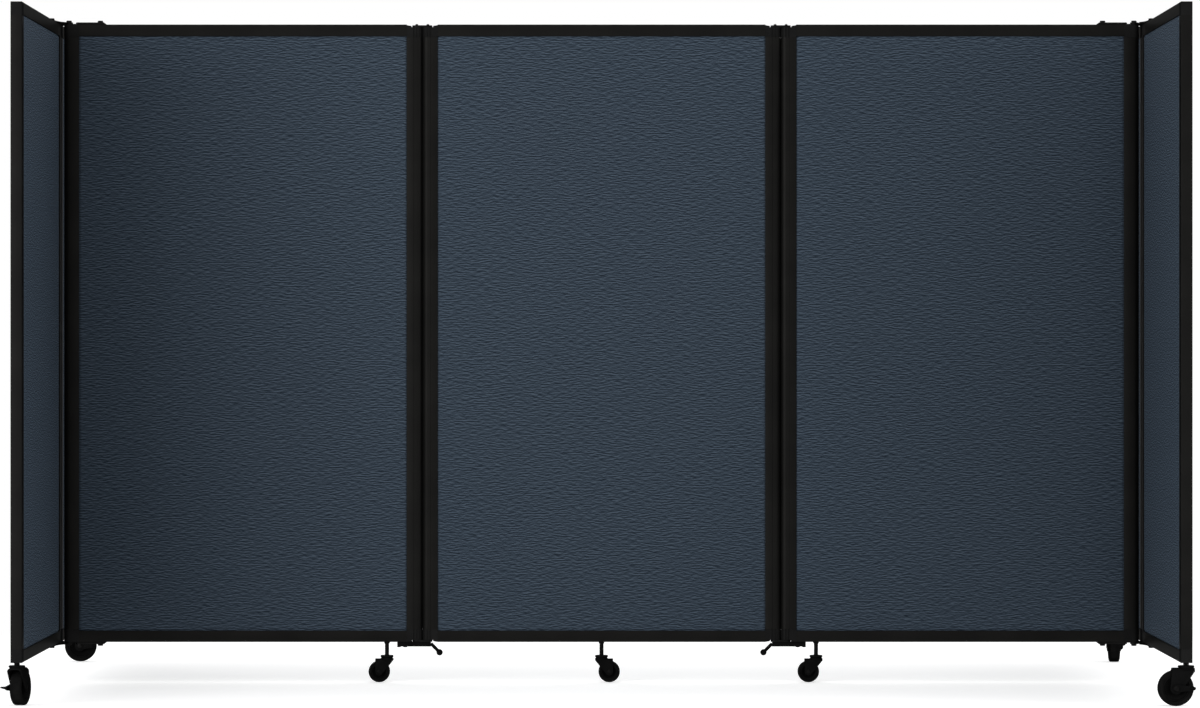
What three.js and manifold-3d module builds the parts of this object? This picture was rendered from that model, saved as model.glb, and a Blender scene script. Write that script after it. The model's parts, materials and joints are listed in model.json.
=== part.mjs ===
// A wheeled privacy screen: three hinged panels in line, with two folding wings at each end.
// Millimetres, +Z up, the floor at zero, the front towards -Y.
import * as THREE from 'three';
import { mergeVertices } from 'three/addons/utils/BufferGeometryUtils.js';
import Module from 'manifold-3d';

const wasm = await Module();
wasm.setup();

// Layout
const frameTop = 1540;
const frameBottom = 94.5;
const hingePitch = 839.7;
const hingeGap = 0.6;
const panelThickness = 25.4;
const wingWidth = 812.8;
const wingStandOff = 6.6;
const wingParting = 4.2;

// Frame section and the fabric board in its groove
const stileWidth = 36.1;
const stileRound = 2.5;
const topRailHeight = 27.4;
const bottomRailHeight = 26.4;
const railEase = 1.2;
const grooveDepth = 8;
const boardThickness = 20;
const fitGap = 0.3;
const stemPlay = 0.6;
const joinOverlap = 0.5;
const cutOverrun = 5;

// Corner caps
const capHeight = 28.6;
const capDrop = 1.4;
const capChamfer = 2.8;
const flushCapChamfer = 1.2;
const fluteRadius = 1.8;
const flutePitch = 7;
const fluteInset = 5.1;

// Middle hinges
const linkLength = 47;
const linkWidth = 20.2;
const linkThickness = 4.2;
const linkStep = 25.4;
const linkStepShort = 23.9;
const shoulderDrop = 1.8;
const pinRadius = 2.5;
const pinLength = 18;
const pinHeadRadius = 3.2;
const pinHeadHeight = 3.2;
const pinHeadEase = 1.4;

// End hinges: three arms that share one pivot bolt, above and below
const cornerPivotInset = 11.6;
const armThickness = 5;
const armWidth = 14;
const eyeRadius = 9;
const leafReach = 26;
const mainLeafReach = 20;
const wingArmReach = 89;
const wingArmBend = 27;
const plateWidth = 18;
const plateReach = 89.2;
const plateBoltReach = 73.5;
const plateSlope = 7;
const boltRadius = 3;
const boltLength = 13;
const boltHeadRadius = 6.3;
const boltHeadHeight = 4.2;
const boltHeadEase = 0.8;
const pivotRadius = 4;
const pivotLength = 20;

// Lock levers
const leverPivotReach = 40;
const leverHeelReach = 58.6;
const leverNoseReach = 20.2;
const leverDrop = 0.5;
const leverThickness = 10.4;
const leverWidth = 16;
const leverLip = 1.7;
const leverLipLength = 8;
const leverArmThickness = 7.6;
const knobRadius = 7.4;
const knobReach = 40.4;
const knobDrop = 24.8;
const leverScrewHeadRadius = 4.7;

// Casters: the small ones stand under the main panels, the big ones have brakes and stand under the wings
const smallCaster = {
  wheelRadius: 25, wheelWidth: 20, trail: 18, tread: 2.5, rim: 19, web: 5, hub: 8,
  capRadius: 15, capHeight: 11.5, capTop: 63.2, waist: 1.6, floorOfBore: 2,
  bridgeReach: 27, bridgeTop: 55, hoodRound: 6, archRound: 5,
  legWall: 2.5, boss: 9, sidePlay: 1, topPlay: 1.2,
  stemRadius: 5, stemDepth: 13, coneRadius: 7.2, coneHeight: 4,
  axleRadius: 3, axleHead: 5, axleHeadWidth: 1.6, brake: false,
};
const bigCaster = {
  wheelRadius: 39, wheelWidth: 25, trail: 23, tread: 3.5, rim: 29, web: 7, hub: 11,
  capRadius: 18, capHeight: 11.5, capTop: 88.4, waist: 1.8, floorOfBore: 5.2,
  bridgeReach: 31, bridgeTop: 83.3, hoodRound: 9, archRound: 7,
  legWall: 3.5, boss: 13, sidePlay: 1, topPlay: 1.2,
  stemRadius: 6.35, stemDepth: 20, coneRadius: 0, coneHeight: 0,
  axleRadius: 4, axleHead: 6.5, axleHeadWidth: 2, brake: true,
};
const smallCasterInset = 82.8;
const bigCasterInset = 15.8;
const leverGap = 0.5;
const brakeWall = 3.2;
const brakeHub = 8.5;
const brakeTip = 4.5;
const brakeReach = 41.3;
const brakeTabWidth = 11;
const brakeSpread = 32;
const brakeTabRoot = 6.4;
const brakeTabEnd = 2;
const brakeTabRise = 1.5;

// How the casters stand in the picture: the way that each wheel trails, in degrees from +X
const trailAngle = {
  centre: 0, left: 180, right: 180, left_front: 77.5, right_front: 180, left_rear: 180, right_rear: -90,
};

// Facets, and the grid that corners fall on, in steps to the millimetre
const gridShare = 2048;
const edgeSteps = 4;
const noseSteps = 8;
const cornerSteps = 1;
const bendSteps = 7;
const fluteSides = 4;
const roundSides = 10;
const capSides = 20;
const wheelSides = 24;

// Worked out from the sizes above
const half = panelThickness / 2;
const grooveHalf = boardThickness / 2 + fitGap;
const panelWidth = hingePitch - hingeGap;
const pivotOffset = (panelThickness + hingeGap) / 2;
const sideStart = hingePitch / 2 + hingeGap / 2;
const sideEnd = sideStart + panelWidth;
const cornerPivotX = sideEnd - cornerPivotInset;
const wingPlane = sideEnd + wingStandOff + half;
const wingOffset = wingPlane - cornerPivotX;
const capTop = frameTop - capDrop;
const capBottom = frameBottom + capDrop;
const leafThickness = (armThickness - fitGap - fitGap) / 3;
const bigCasterReach = wingWidth - bigCasterInset;
const armBase = frameTop + fitGap;
const armTop = armBase + armThickness;

// Finishes
const satinBlack = new THREE.MeshStandardMaterial({ color: 0x1d1d1e, roughness: 0.45, metalness: 0.3 });
const capBlack = new THREE.MeshStandardMaterial({ color: 0x1a1a1b, roughness: 0.55, metalness: 0 });
const slateCloth = new THREE.MeshStandardMaterial({ color: 0x2f3844, roughness: 0.95, metalness: 0 });
const boltBlack = new THREE.MeshStandardMaterial({ color: 0x161616, roughness: 0.4, metalness: 0.6 });
const casterBlack = new THREE.MeshStandardMaterial({ color: 0x131313, roughness: 0.5, metalness: 0 });
const tyreBlack = new THREE.MeshStandardMaterial({ color: 0x101011, roughness: 0.75, metalness: 0 });

// Solid helpers
function bare(geometry) {
  const copy = geometry.index ? geometry.toNonIndexed() : geometry.clone();
  copy.deleteAttribute('normal');
  copy.deleteAttribute('uv');
  const numbers = copy.attributes.position.array;
  numbers.forEach((value, n) => {
    numbers[n] = Math.round(value * gridShare) / gridShare;
  });
  return copy;
}

function signedVolume(geometry) {
  const at = geometry.attributes.position;
  const [a, b, c] = [new THREE.Vector3(), new THREE.Vector3(), new THREE.Vector3()];
  let sum = 0;
  for (let i = 0; i < at.count; i += 3) {
    a.fromBufferAttribute(at, i);
    b.fromBufferAttribute(at, i + 1);
    c.fromBufferAttribute(at, i + 2);
    sum += a.dot(b.cross(c));
  }
  return sum / 6;
}

// Turns a closed skin so that its faces point outwards.
function facedOut(geometry) {
  const skin = bare(geometry);
  if (signedVolume(skin) > 0) return skin;
  const at = skin.attributes.position;
  for (let i = 0; i < at.count; i += 3) {
    const keep = [at.getX(i), at.getY(i), at.getZ(i)];
    at.setXYZ(i, at.getX(i + 1), at.getY(i + 1), at.getZ(i + 1));
    at.setXYZ(i + 1, ...keep);
  }
  return skin;
}

function solidOf(geometry) {
  const joined = mergeVertices(facedOut(geometry));
  const vertProperties = new Float32Array(joined.attributes.position.array);
  const triVerts = new Uint32Array(joined.index.array);
  return new wasm.Manifold(new wasm.Mesh({ numProp: 3, vertProperties, triVerts }));
}

function skinOf(solid) {
  const mesh = solid.getMesh();
  const geometry = new THREE.BufferGeometry();
  geometry.setAttribute('position', new THREE.BufferAttribute(mesh.vertProperties, 3));
  geometry.setIndex(new THREE.BufferAttribute(mesh.triVerts, 1));
  return geometry.toNonIndexed();
}

function cut(body, ...tools) {
  return skinOf(tools.reduce((left, tool) => left.subtract(solidOf(tool)), solidOf(body)));
}

function join(...pieces) {
  return skinOf(pieces.map(solidOf).reduce((all, piece) => all.add(piece)));
}

function overlapOf(one, other) {
  return skinOf(solidOf(one).intersect(solidOf(other)));
}

function named(name, material, geometry) {
  const skin = facedOut(geometry);
  skin.computeVertexNormals();
  const mesh = new THREE.Mesh(skin, material);
  mesh.name = name;
  return mesh;
}

function moved(geometry, x, y, z) {
  return geometry.clone().translate(x, y, z);
}

function box(x0, x1, y0, y1, z0, z1) {
  const geometry = new THREE.BoxGeometry(x1 - x0, y1 - y0, z1 - z0);
  return geometry.translate((x0 + x1) / 2, (y0 + y1) / 2, (z0 + z1) / 2);
}

function post(radius, z0, z1, x = 0, y = 0, sides = roundSides) {
  const geometry = new THREE.CylinderGeometry(radius, radius, z1 - z0, sides).rotateX(Math.PI / 2);
  return geometry.translate(x, y, (z0 + z1) / 2);
}

function crossPin(radius, y0, y1, x, z) {
  const geometry = new THREE.CylinderGeometry(radius, radius, y1 - y0, roundSides);
  return geometry.translate(x, (y0 + y1) / 2, z);
}

// Upright turned shape from [radius, height] points that start and end on the axis.
function turned(points, sides = roundSides) {
  const outline = points.map(([r, z]) => new THREE.Vector2(r, z));
  return new THREE.LatheGeometry(outline, sides).rotateX(Math.PI / 2);
}

function polygon(points) {
  return new THREE.Shape(points.map(([x, y]) => new THREE.Vector2(x, y)));
}

function extruded(shape, depth) {
  return new THREE.ExtrudeGeometry(shape, { depth, bevelEnabled: false, curveSegments: edgeSteps });
}

function risen(shape, z0, z1) {
  return extruded(shape, z1 - z0).translate(0, 0, z0);
}

// A shape drawn in (y, z) and run along x.
function runAlongX(shape, x0, x1) {
  const turn = new THREE.Matrix4().makeBasis(
    new THREE.Vector3(0, 1, 0), new THREE.Vector3(0, 0, 1), new THREE.Vector3(1, 0, 0));
  return extruded(shape, x1 - x0).applyMatrix4(turn).translate(x0, 0, 0);
}

// A shape drawn in (x, z) and run along y.
function runAlongY(shape, y0, y1) {
  return extruded(shape, y1 - y0).rotateX(Math.PI / 2).translate(0, y1, 0);
}

// The same piece under the frame: mirrored about the screen's mid height.
function underside(geometry) {
  return facedOut(bare(geometry).scale(1, 1, -1).translate(0, 0, frameTop + frameBottom));
}

function addPair(group, name, material, geometry) {
  group.add(named(`${name}_top`, material, geometry));
  group.add(named(`${name}_bottom`, material, underside(geometry)));
}

// Frame profiles. A stile's outer edge is half round where it turns on a hinge, and flat with rounded corners
// where nothing turns.
function outerEdge(shape, radius) {
  const steps = radius < half ? cornerSteps : noseSteps;
  const turnTo = (n, y) => {
    const angle = Math.PI / 2 * (1 + n / steps);
    shape.lineTo(radius + radius * Math.cos(angle), y + radius * Math.sin(angle));
  };
  for (let n = 0; n <= steps; n++) turnTo(n, half - radius);
  for (let n = radius < half ? steps : steps + 1; n <= 2 * steps; n++) turnTo(n, radius - half);
  return shape;
}

function stileShape(radius) {
  const shape = new THREE.Shape();
  shape.moveTo(stileWidth, -half);
  shape.lineTo(stileWidth, -grooveHalf);
  shape.lineTo(stileWidth - grooveDepth, -grooveHalf);
  shape.lineTo(stileWidth - grooveDepth, grooveHalf);
  shape.lineTo(stileWidth, grooveHalf);
  shape.lineTo(stileWidth, half);
  return outerEdge(shape, radius);
}

function stile(radius) {
  return risen(stileShape(radius), capBottom + capHeight - joinOverlap, capTop - capHeight + joinOverlap);
}

// Drawn with the groove up; the top rail is the same section turned over.
function rail(height, x0, x1) {
  const shape = polygon([
    [-half, railEase], [railEase - half, 0], [half - railEase, 0], [half, railEase],
    [half, height], [grooveHalf, height], [grooveHalf, height - grooveDepth],
    [-grooveHalf, height - grooveDepth], [-grooveHalf, height], [-half, height],
  ]);
  return runAlongX(shape, x0, x1).translate(0, 0, frameBottom);
}

// A cap stands on its stile and has an eased outer face. The board's corner sits in a pocket in it.
function cap(radius, top, chamfer, ...cuts) {
  const shape = new THREE.Shape();
  shape.moveTo(stileWidth, -half);
  shape.lineTo(stileWidth, half);
  outerEdge(shape, radius);
  const foot = capTop - capHeight;
  const body = new THREE.ExtrudeGeometry(shape, {
    depth: top - foot - chamfer, bevelEnabled: true, bevelSegments: 1, curveSegments: edgeSteps,
    bevelThickness: chamfer, bevelSize: chamfer, bevelOffset: -chamfer,
  }).translate(0, 0, foot);
  const trim = box(-cutOverrun, stileWidth + cutOverrun, -half - cutOverrun, half + cutOverrun,
    foot - chamfer - cutOverrun, foot);
  const pocket = box(stileWidth - grooveDepth, stileWidth + cutOverrun, -grooveHalf, grooveHalf,
    foot - cutOverrun, frameTop - bottomRailHeight + grooveDepth);
  return cut(body, trim, pocket, ...cuts);
}

function flutes() {
  const holes = [];
  for (let n = 0; n < 3; n++) {
    const x = fluteInset + n * flutePitch;
    const inFromCentre = Math.min(x - half, 0);
    const y = Math.sqrt(half * half - inFromCentre * inFromCentre);
    for (const side of [-1, 1]) {
      holes.push(
        post(fluteRadius, capTop - capHeight - cutOverrun, frameTop + cutOverrun, x, side * y, fluteSides));
    }
  }
  return holes;
}

// The step in a hinge cap takes the link's end, and the cap's shoulder falls towards it. Over a lock lever
// the step reaches no further than the link, and there is no shoulder.
function hingeCap(top, stepReach, drop) {
  const seat = top - linkThickness - fitGap;
  const step = runAlongY(polygon([
    [-cutOverrun, seat], [stepReach, seat], [stepReach, top - drop], [stileWidth, top],
    [stileWidth, top + cutOverrun], [-cutOverrun, top + cutOverrun],
  ]), -half - cutOverrun, half + cutOverrun);
  const pinHole = post(pinRadius + fitGap, seat - pinLength, top, half);
  return cap(half, top, capChamfer, step, pinHole, ...flutes());
}

// The caps beside an end hinge and at a wing's free end lie level with the rails.
function flushCap(radius, ...cuts) {
  return cap(radius, frameTop, flushCapChamfer, ...cuts);
}

function pivotCap() {
  const hole = post(pivotRadius + fitGap, armBase - pivotLength - fitGap, frameTop + cutOverrun,
    cornerPivotInset);
  return flushCap(half, hole);
}

function casterCap() {
  const hole = post(bigCaster.stemRadius + fitGap, frameTop - bigCaster.stemDepth - fitGap,
    frameTop + cutOverrun, bigCasterInset);
  return flushCap(stileRound, hole);
}

function farEnd(geometry, width) {
  return geometry.clone().rotateZ(Math.PI).translate(width, 0, 0);
}

// One panel's frame, along +X from its near end at zero: stiles, rails and corner caps made fast together
function panelFrame(width, near, far, ...holes) {
  const railStart = stileWidth - joinOverlap;
  const railEnd = width - stileWidth + joinOverlap;
  const frame = join(
    stile(near.round), farEnd(stile(far.round), width),
    underside(rail(topRailHeight, railStart, railEnd)), rail(bottomRailHeight, railStart, railEnd),
    near.cap, underside(near.under), farEnd(far.cap, width), underside(farEnd(far.under, width)),
  );
  return holes.length ? cut(frame, ...holes) : frame;
}

function panelBoard(width) {
  const inset = fitGap - grooveDepth;
  return box(stileWidth + inset, width - stileWidth - inset, -boardThickness / 2, boardThickness / 2,
    frameBottom + bottomRailHeight + inset, frameTop - topRailHeight - inset);
}

const hingeEnd = {
  round: half,
  cap: hingeCap(capTop, linkStep, shoulderDrop),
  under: hingeCap(frameTop, linkStep, shoulderDrop),
};
const leverEnd = { round: half, cap: hingeEnd.cap, under: hingeCap(frameTop, linkStepShort, 0) };
const pivotEnd = { round: half, cap: pivotCap(), under: pivotCap() };
const plainEnd = { round: stileRound, cap: flushCap(stileRound), under: flushCap(stileRound) };
const casterEnd = { round: stileRound, cap: flushCap(stileRound), under: casterCap() };

// Fasteners
function bolt(headBase, length, radius) {
  const headTop = headBase + boltHeadHeight;
  return turned([
    [0, headBase - length], [radius, headBase - length], [radius, headBase], [boltHeadRadius, headBase],
    [boltHeadRadius, headTop - boltHeadEase], [boltHeadRadius - boltHeadEase, headTop], [0, headTop],
  ]);
}

function casterStem(c) {
  const foot = c.capTop - c.capHeight + c.floorOfBore + fitGap;
  const points = [[0, foot], [c.stemRadius, foot]];
  if (c.coneHeight > 0) {
    points.push([c.stemRadius, frameBottom - c.coneHeight], [c.coneRadius, frameBottom - fitGap]);
    points.push([c.stemRadius, frameBottom - fitGap]);
  }
  points.push([c.stemRadius, frameBottom + c.stemDepth], [0, frameBottom + c.stemDepth]);
  return turned(points);
}

// End hinge arms
function leafLevel(n) {
  const z0 = armBase + n * (leafThickness + fitGap);
  return [z0, z0 + leafThickness];
}

// The main panel's arm lies along its rail; x is measured from the pivot, towards the panel. The pivot bolt
// is pressed into its eye, and the wing arms turn on the bolt above it.
function mainArm() {
  const [z0, z1] = leafLevel(0);
  const side = polygon([
    [-eyeRadius, z0], [plateReach, z0], [plateReach - plateSlope, armTop],
    [mainLeafReach, armTop], [mainLeafReach, z1], [-eyeRadius, z1],
  ]);
  const plan = new THREE.Shape();
  plan.absarc(0, 0, eyeRadius, Math.PI / 2, 3 * Math.PI / 2, false);
  plan.lineTo(plateReach, -plateWidth / 2);
  plan.lineTo(plateReach, plateWidth / 2);
  const arm = overlapOf(runAlongY(side, -plateWidth, plateWidth),
    risen(plan, z0 - cutOverrun, armTop + cutOverrun));
  return join(arm, bolt(armTop + fitGap, armThickness + pivotLength, pivotRadius),
    moved(bolt(armTop, armThickness + boltLength, boltRadius), plateBoltReach, 0, 0));
}

// A wing's arm leaves the pivot at the origin and bends to run along the wing, towards +X, wingOffset away.
function wingArm(level) {
  const [z0, z1] = leafLevel(level);
  const path = new THREE.QuadraticBezierCurve(
    new THREE.Vector2(0, 0), new THREE.Vector2(wingArmBend, wingOffset),
    new THREE.Vector2(wingArmReach, wingOffset));
  const left = [];
  const right = [];
  for (let n = 0; n <= bendSteps; n++) {
    const at = path.getPoint(n / bendSteps);
    const along = path.getTangent(n / bendSteps);
    left.push([at.x - along.y * armWidth / 2, at.y + along.x * armWidth / 2]);
    right.unshift([at.x + along.y * armWidth / 2, at.y - along.x * armWidth / 2]);
  }
  const outline = polygon([...left, ...right]);
  const thick = cut(
    join(risen(outline, armBase, armTop), post(armWidth / 2, armBase, armTop, wingArmReach, wingOffset)),
    post(leafReach, armBase - cutOverrun, armTop + cutOverrun, 0, 0, capSides));
  const leaf = cut(join(risen(outline, z0, z1), post(eyeRadius, z0, z1)),
    post(pivotRadius + fitGap, z0 - cutOverrun, z1 + cutOverrun));
  return join(thick, leaf,
    moved(bolt(armTop, armThickness + boltLength, boltRadius), wingArmReach, wingOffset, 0));
}

// Middle hinge links, about the hinge's centre, each with its two pins riveted in. The lower link's pins are
// flush, because the lock lever turns close under it.
function linkPlate(top, headed) {
  const reach = linkLength / 2 - linkWidth / 2;
  const plan = new THREE.Shape();
  plan.absarc(reach, 0, linkWidth / 2, -Math.PI / 2, Math.PI / 2, false);
  plan.absarc(-reach, 0, linkWidth / 2, Math.PI / 2, 3 * Math.PI / 2, false);
  return join(risen(plan, top - linkThickness, top), linkPin(top, -1, headed), linkPin(top, 1, headed));
}

function linkPin(top, side, headed) {
  const foot = top - linkThickness - pinLength;
  const head = [
    [pinHeadRadius, top], [pinHeadRadius, top + pinHeadHeight - pinHeadEase],
    [pinHeadRadius - pinHeadEase, top + pinHeadHeight], [0, top + pinHeadHeight],
  ];
  const shank = [[0, foot], [pinRadius, foot], [pinRadius, top]];
  const pin = turned([...shank, ...(headed ? head : [[0, top]])]);
  return pin.translate(side * pivotOffset, 0, 0);
}

// Lock lever: x grows from the hinge's centre towards the side panel
function lockLever() {
  const top = frameBottom - leverDrop;
  const bottom = top - leverThickness;
  const bar = polygon([
    [-leverNoseReach, top], [leverHeelReach, top], [leverHeelReach, bottom - leverLip],
    [leverHeelReach - leverLipLength, bottom - leverLip], [leverHeelReach - leverLipLength, bottom],
    [-leverNoseReach, bottom],
  ]);
  const slant = Math.atan2(knobDrop - leverDrop - leverArmThickness / 2, knobReach - leverNoseReach);
  const halfArm = leverArmThickness / 2;
  const arm = box(0, (knobReach - leverNoseReach) / Math.cos(slant), -halfArm, halfArm, -halfArm, halfArm);
  arm.rotateY(Math.PI - slant).translate(-leverNoseReach, 0, top - halfArm);
  const knob = new THREE.SphereGeometry(knobRadius, roundSides, roundSides / 2).rotateX(Math.PI / 2);
  const body = join(
    runAlongY(bar, -leverWidth / 2, leverWidth / 2),
    arm,
    moved(knob, -knobReach, 0, frameBottom - knobDrop),
  );
  return cut(body, post(boltRadius + fitGap, bottom - cutOverrun, top + cutOverrun, leverPivotReach));
}

function leverScrew() {
  const bottom = frameBottom - leverDrop - leverThickness;
  return turned([
    [0, bottom - leverLip - fitGap], [leverScrewHeadRadius, bottom - leverLip - fitGap],
    [leverScrewHeadRadius, bottom - fitGap], [boltRadius, bottom - fitGap],
    [boltRadius, frameBottom + boltLength], [0, frameBottom + boltLength],
  ]);
}

// Casters, drawn about the stem with the wheel trailing towards +X
function hull(points) {
  const sorted = [...points].sort((p, q) => p[0] - q[0] || p[1] - q[1]);
  const turnOf = (o, a, b) => (a[0] - o[0]) * (b[1] - o[1]) - (a[1] - o[1]) * (b[0] - o[0]);
  const chain = (list) => {
    const out = [];
    for (const p of list) {
      while (out.length > 1 && turnOf(out[out.length - 2], out[out.length - 1], p) <= 0) out.pop();
      out.push(p);
    }
    out.pop();
    return out;
  };
  return [...chain(sorted), ...chain(sorted.reverse())];
}

function ring(x, z, radius, sides = roundSides) {
  return Array.from({ length: sides }, (_, n) => {
    const angle = 2 * Math.PI * n / sides;
    return [x + radius * Math.cos(angle), z + radius * Math.sin(angle)];
  });
}

function casterSides(c) {
  const inner = c.wheelWidth / 2 + c.sidePlay;
  return { inner, outer: inner + c.legWall, capBottom: c.capTop - c.capHeight };
}

// An upright section in (y, z) with rounded upper corners, open far below
function hoodShape(reach, top, radius) {
  const shape = new THREE.Shape();
  shape.moveTo(reach, -cutOverrun);
  shape.lineTo(reach, top - radius);
  shape.absarc(reach - radius, top - radius, radius, 0, Math.PI / 2, false);
  shape.absarc(radius - reach, top - radius, radius, Math.PI / 2, Math.PI, false);
  shape.lineTo(-reach, -cutOverrun);
  return shape;
}

// The fork is a hood over the wheel with an arched opening, under a grooved bearing cap.
function casterFork(c) {
  const { inner, outer, capBottom: under } = casterSides(c);
  const clear = 2 * c.wheelRadius + c.topPlay;
  const back = -c.capRadius - cutOverrun;
  const front = c.bridgeReach + c.boss;
  const outline = hull([
    [-c.capRadius, under], [-c.capRadius, c.bridgeTop], [c.bridgeReach, c.bridgeTop],
    [c.bridgeReach, c.bridgeTop - c.capHeight / 2], ...ring(c.trail, c.wheelRadius, c.boss),
  ]);
  const lip = c.capHeight / 3;
  const bearing = turned([
    [0, under], [c.capRadius, under], [c.capRadius, under + lip],
    [c.capRadius - c.waist, under + c.capHeight / 2],
    [c.capRadius, c.capTop - lip], [c.capRadius, c.capTop], [0, c.capTop],
  ], capSides);
  const hood = overlapOf(runAlongY(polygon(outline), -outer, outer),
    runAlongX(hoodShape(outer, c.bridgeTop, c.hoodRound), back, front));
  const fork = cut(join(hood, bearing),
    runAlongX(hoodShape(inner, clear, c.archRound), back, front),
    post(c.stemRadius + stemPlay, under + c.floorOfBore, c.capTop + cutOverrun));
  return join(fork, casterAxle(c));
}

function casterAxle(c) {
  const { outer } = casterSides(c);
  const near = -outer;
  const far = outer + (c.brake ? leverGap + brakeWall + fitGap : 0);
  const outline = [
    [0, near - c.axleHeadWidth], [c.axleHead, near - c.axleHeadWidth], [c.axleHead, near],
    [c.axleRadius, near], [c.axleRadius, far], [c.axleHead, far],
    [c.axleHead, far + c.axleHeadWidth], [0, far + c.axleHeadWidth],
  ].map(([r, y]) => new THREE.Vector2(r, y));
  return new THREE.LatheGeometry(outline, roundSides).translate(c.trail, 0, c.wheelRadius);
}

function casterWheel(c) {
  const side = c.wheelWidth / 2;
  const hubSide = side + c.sidePlay / 2;
  const bore = c.axleRadius + fitGap;
  const outline = [
    [bore, -hubSide], [c.hub, -hubSide], [c.hub, -c.web / 2], [c.rim, -side],
    [c.wheelRadius - c.tread, -side], [c.wheelRadius, c.tread - side], [c.wheelRadius, side - c.tread],
    [c.wheelRadius - c.tread, side], [c.rim, side],
    [c.hub, c.web / 2], [c.hub, hubSide], [bore, hubSide], [bore, -hubSide],
  ].map(([r, y]) => new THREE.Vector2(r, y));
  return new THREE.LatheGeometry(outline, wheelSides).translate(c.trail, 0, c.wheelRadius);
}

function brakeLever(c) {
  const { outer } = casterSides(c);
  const near = outer + leverGap;
  const far = near + brakeWall;
  const tipX = c.trail - brakeReach;
  const arm = hull([
    ...ring(c.trail, c.wheelRadius, brakeHub),
    ...ring(tipX + brakeTip, c.wheelRadius, brakeTip),
  ]);
  const tab = polygon([
    [near, c.wheelRadius - brakeTabRoot / 2],
    [brakeSpread, c.wheelRadius + brakeTabRise - brakeTabEnd / 2],
    [brakeSpread, c.wheelRadius + brakeTabRise + brakeTabEnd / 2],
    [near, c.wheelRadius + brakeTabRoot / 2],
  ]);
  const body = join(runAlongY(polygon(arm), near, far), runAlongX(tab, tipX, tipX + brakeTabWidth));
  const bore = crossPin(c.axleRadius + fitGap, near - cutOverrun, far + cutOverrun, c.trail, c.wheelRadius);
  return cut(body, bore);
}

function addCaster(group, name, c, x, y, angle) {
  const caster = new THREE.Group();
  caster.position.set(x, y, 0);
  caster.rotation.z = THREE.MathUtils.degToRad(angle);
  caster.add(named(`${name}_caster_fork`, casterBlack, casterFork(c)));
  caster.add(named(`${name}_caster_wheel`, tyreBlack, casterWheel(c)));
  if (c.brake) caster.add(named(`${name}_caster_brake`, casterBlack, brakeLever(c)));
  group.add(caster);
}

function stemHole(c, x) {
  return post(c.stemRadius + fitGap, frameBottom - cutOverrun, frameBottom + c.stemDepth + fitGap, x);
}

// A hole for a bolt through the outer wall of a bottom rail or, turned over, of a top rail
function boltHole(x, y = 0) {
  return post(boltRadius + fitGap, frameBottom - cutOverrun, frameBottom + boltLength + fitGap, x, y);
}

// The centre panel stands still; the rest hangs on it
function centrePanel(screen) {
  const panel = new THREE.Group();
  panel.position.x = -panelWidth / 2;
  panel.add(named('centre_panel_frame', satinBlack,
    panelFrame(panelWidth, hingeEnd, hingeEnd, stemHole(smallCaster, panelWidth / 2))));
  panel.add(named('centre_panel_fabric', slateCloth, panelBoard(panelWidth)));
  screen.add(panel);
  screen.add(named('centre_caster_stem', boltBlack, casterStem(smallCaster)));
  addCaster(screen, 'centre', smallCaster, 0, 0, trailAngle.centre);
}

// A wing runs from its near end along the direction that turnDeg gives. Its pivot lies on one side of it.
function addWing(group, name, level, pivotSide, turnDeg, worldTurn) {
  const out = Math.sign(turnDeg);
  const wing = new THREE.Group();
  wing.position.set(wingPlane, out * wingParting / 2, 0);
  wing.rotation.z = THREE.MathUtils.degToRad(turnDeg);
  const hole = boltHole(wingArmReach - wingParting / 2);
  wing.add(named(`${name}_wing_frame`, satinBlack,
    panelFrame(wingWidth, plainEnd, casterEnd, hole, underside(hole))));
  wing.add(named(`${name}_wing_fabric`, slateCloth, panelBoard(wingWidth)));
  const arm = wingArm(level).translate(-wingParting / 2, -wingOffset, 0).scale(1, -pivotSide, 1);
  addPair(wing, `${name}_wing_hinge_arm`, satinBlack, arm);
  wing.add(named(`${name}_caster_stem`, boltBlack, moved(casterStem(bigCaster), bigCasterReach, 0, 0)));
  group.add(wing);
  const down = out * (wingParting / 2 + bigCasterReach);
  addCaster(group, name, bigCaster, wingPlane, down, trailAngle[name] - worldTurn);
}

// One side of the screen, drawn towards +X: links, main panel, lock lever and two wings
function addSide(screen, side, lowWing, highWing, turnDeg) {
  const group = new THREE.Group();
  group.rotation.z = THREE.MathUtils.degToRad(turnDeg);

  const link = new THREE.Group();
  link.position.x = hingePitch / 2;
  link.add(named(`${side}_hinge_link_top`, satinBlack, linkPlate(capTop, true)));
  link.add(named(`${side}_hinge_link_bottom`, satinBlack, underside(linkPlate(frameTop, false))));
  link.add(named(`${side}_lock_lever`, casterBlack, lockLever()));
  group.add(link);

  const panel = new THREE.Group();
  panel.position.x = sideStart;
  const boltAt = cornerPivotX - plateBoltReach - sideStart;
  const screwAt = leverPivotReach - hingeGap / 2;
  const stemAt = smallCasterInset - hingeGap / 2;
  panel.add(named(`${side}_panel_frame`, satinBlack, panelFrame(panelWidth, leverEnd, pivotEnd,
    stemHole(smallCaster, stemAt), boltHole(screwAt), boltHole(boltAt), underside(boltHole(boltAt)))));
  panel.add(named(`${side}_panel_fabric`, slateCloth, panelBoard(panelWidth)));
  const arm = mainArm().rotateZ(Math.PI).translate(cornerPivotX - sideStart, 0, 0);
  addPair(panel, `${side}_panel_hinge_arm`, satinBlack, arm);
  panel.add(named(`${side}_lock_screw`, boltBlack, moved(leverScrew(), screwAt, 0, 0)));
  panel.add(named(`${side}_caster_stem`, boltBlack, moved(casterStem(smallCaster), stemAt, 0, 0)));
  group.add(panel);

  addCaster(group, side, smallCaster, hingePitch / 2 + smallCasterInset, 0, trailAngle[side] - turnDeg);
  addWing(group, lowWing, 1, -1, -90, turnDeg);
  addWing(group, highWing, 2, 1, 90, turnDeg);
  screen.add(group);
}

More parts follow.
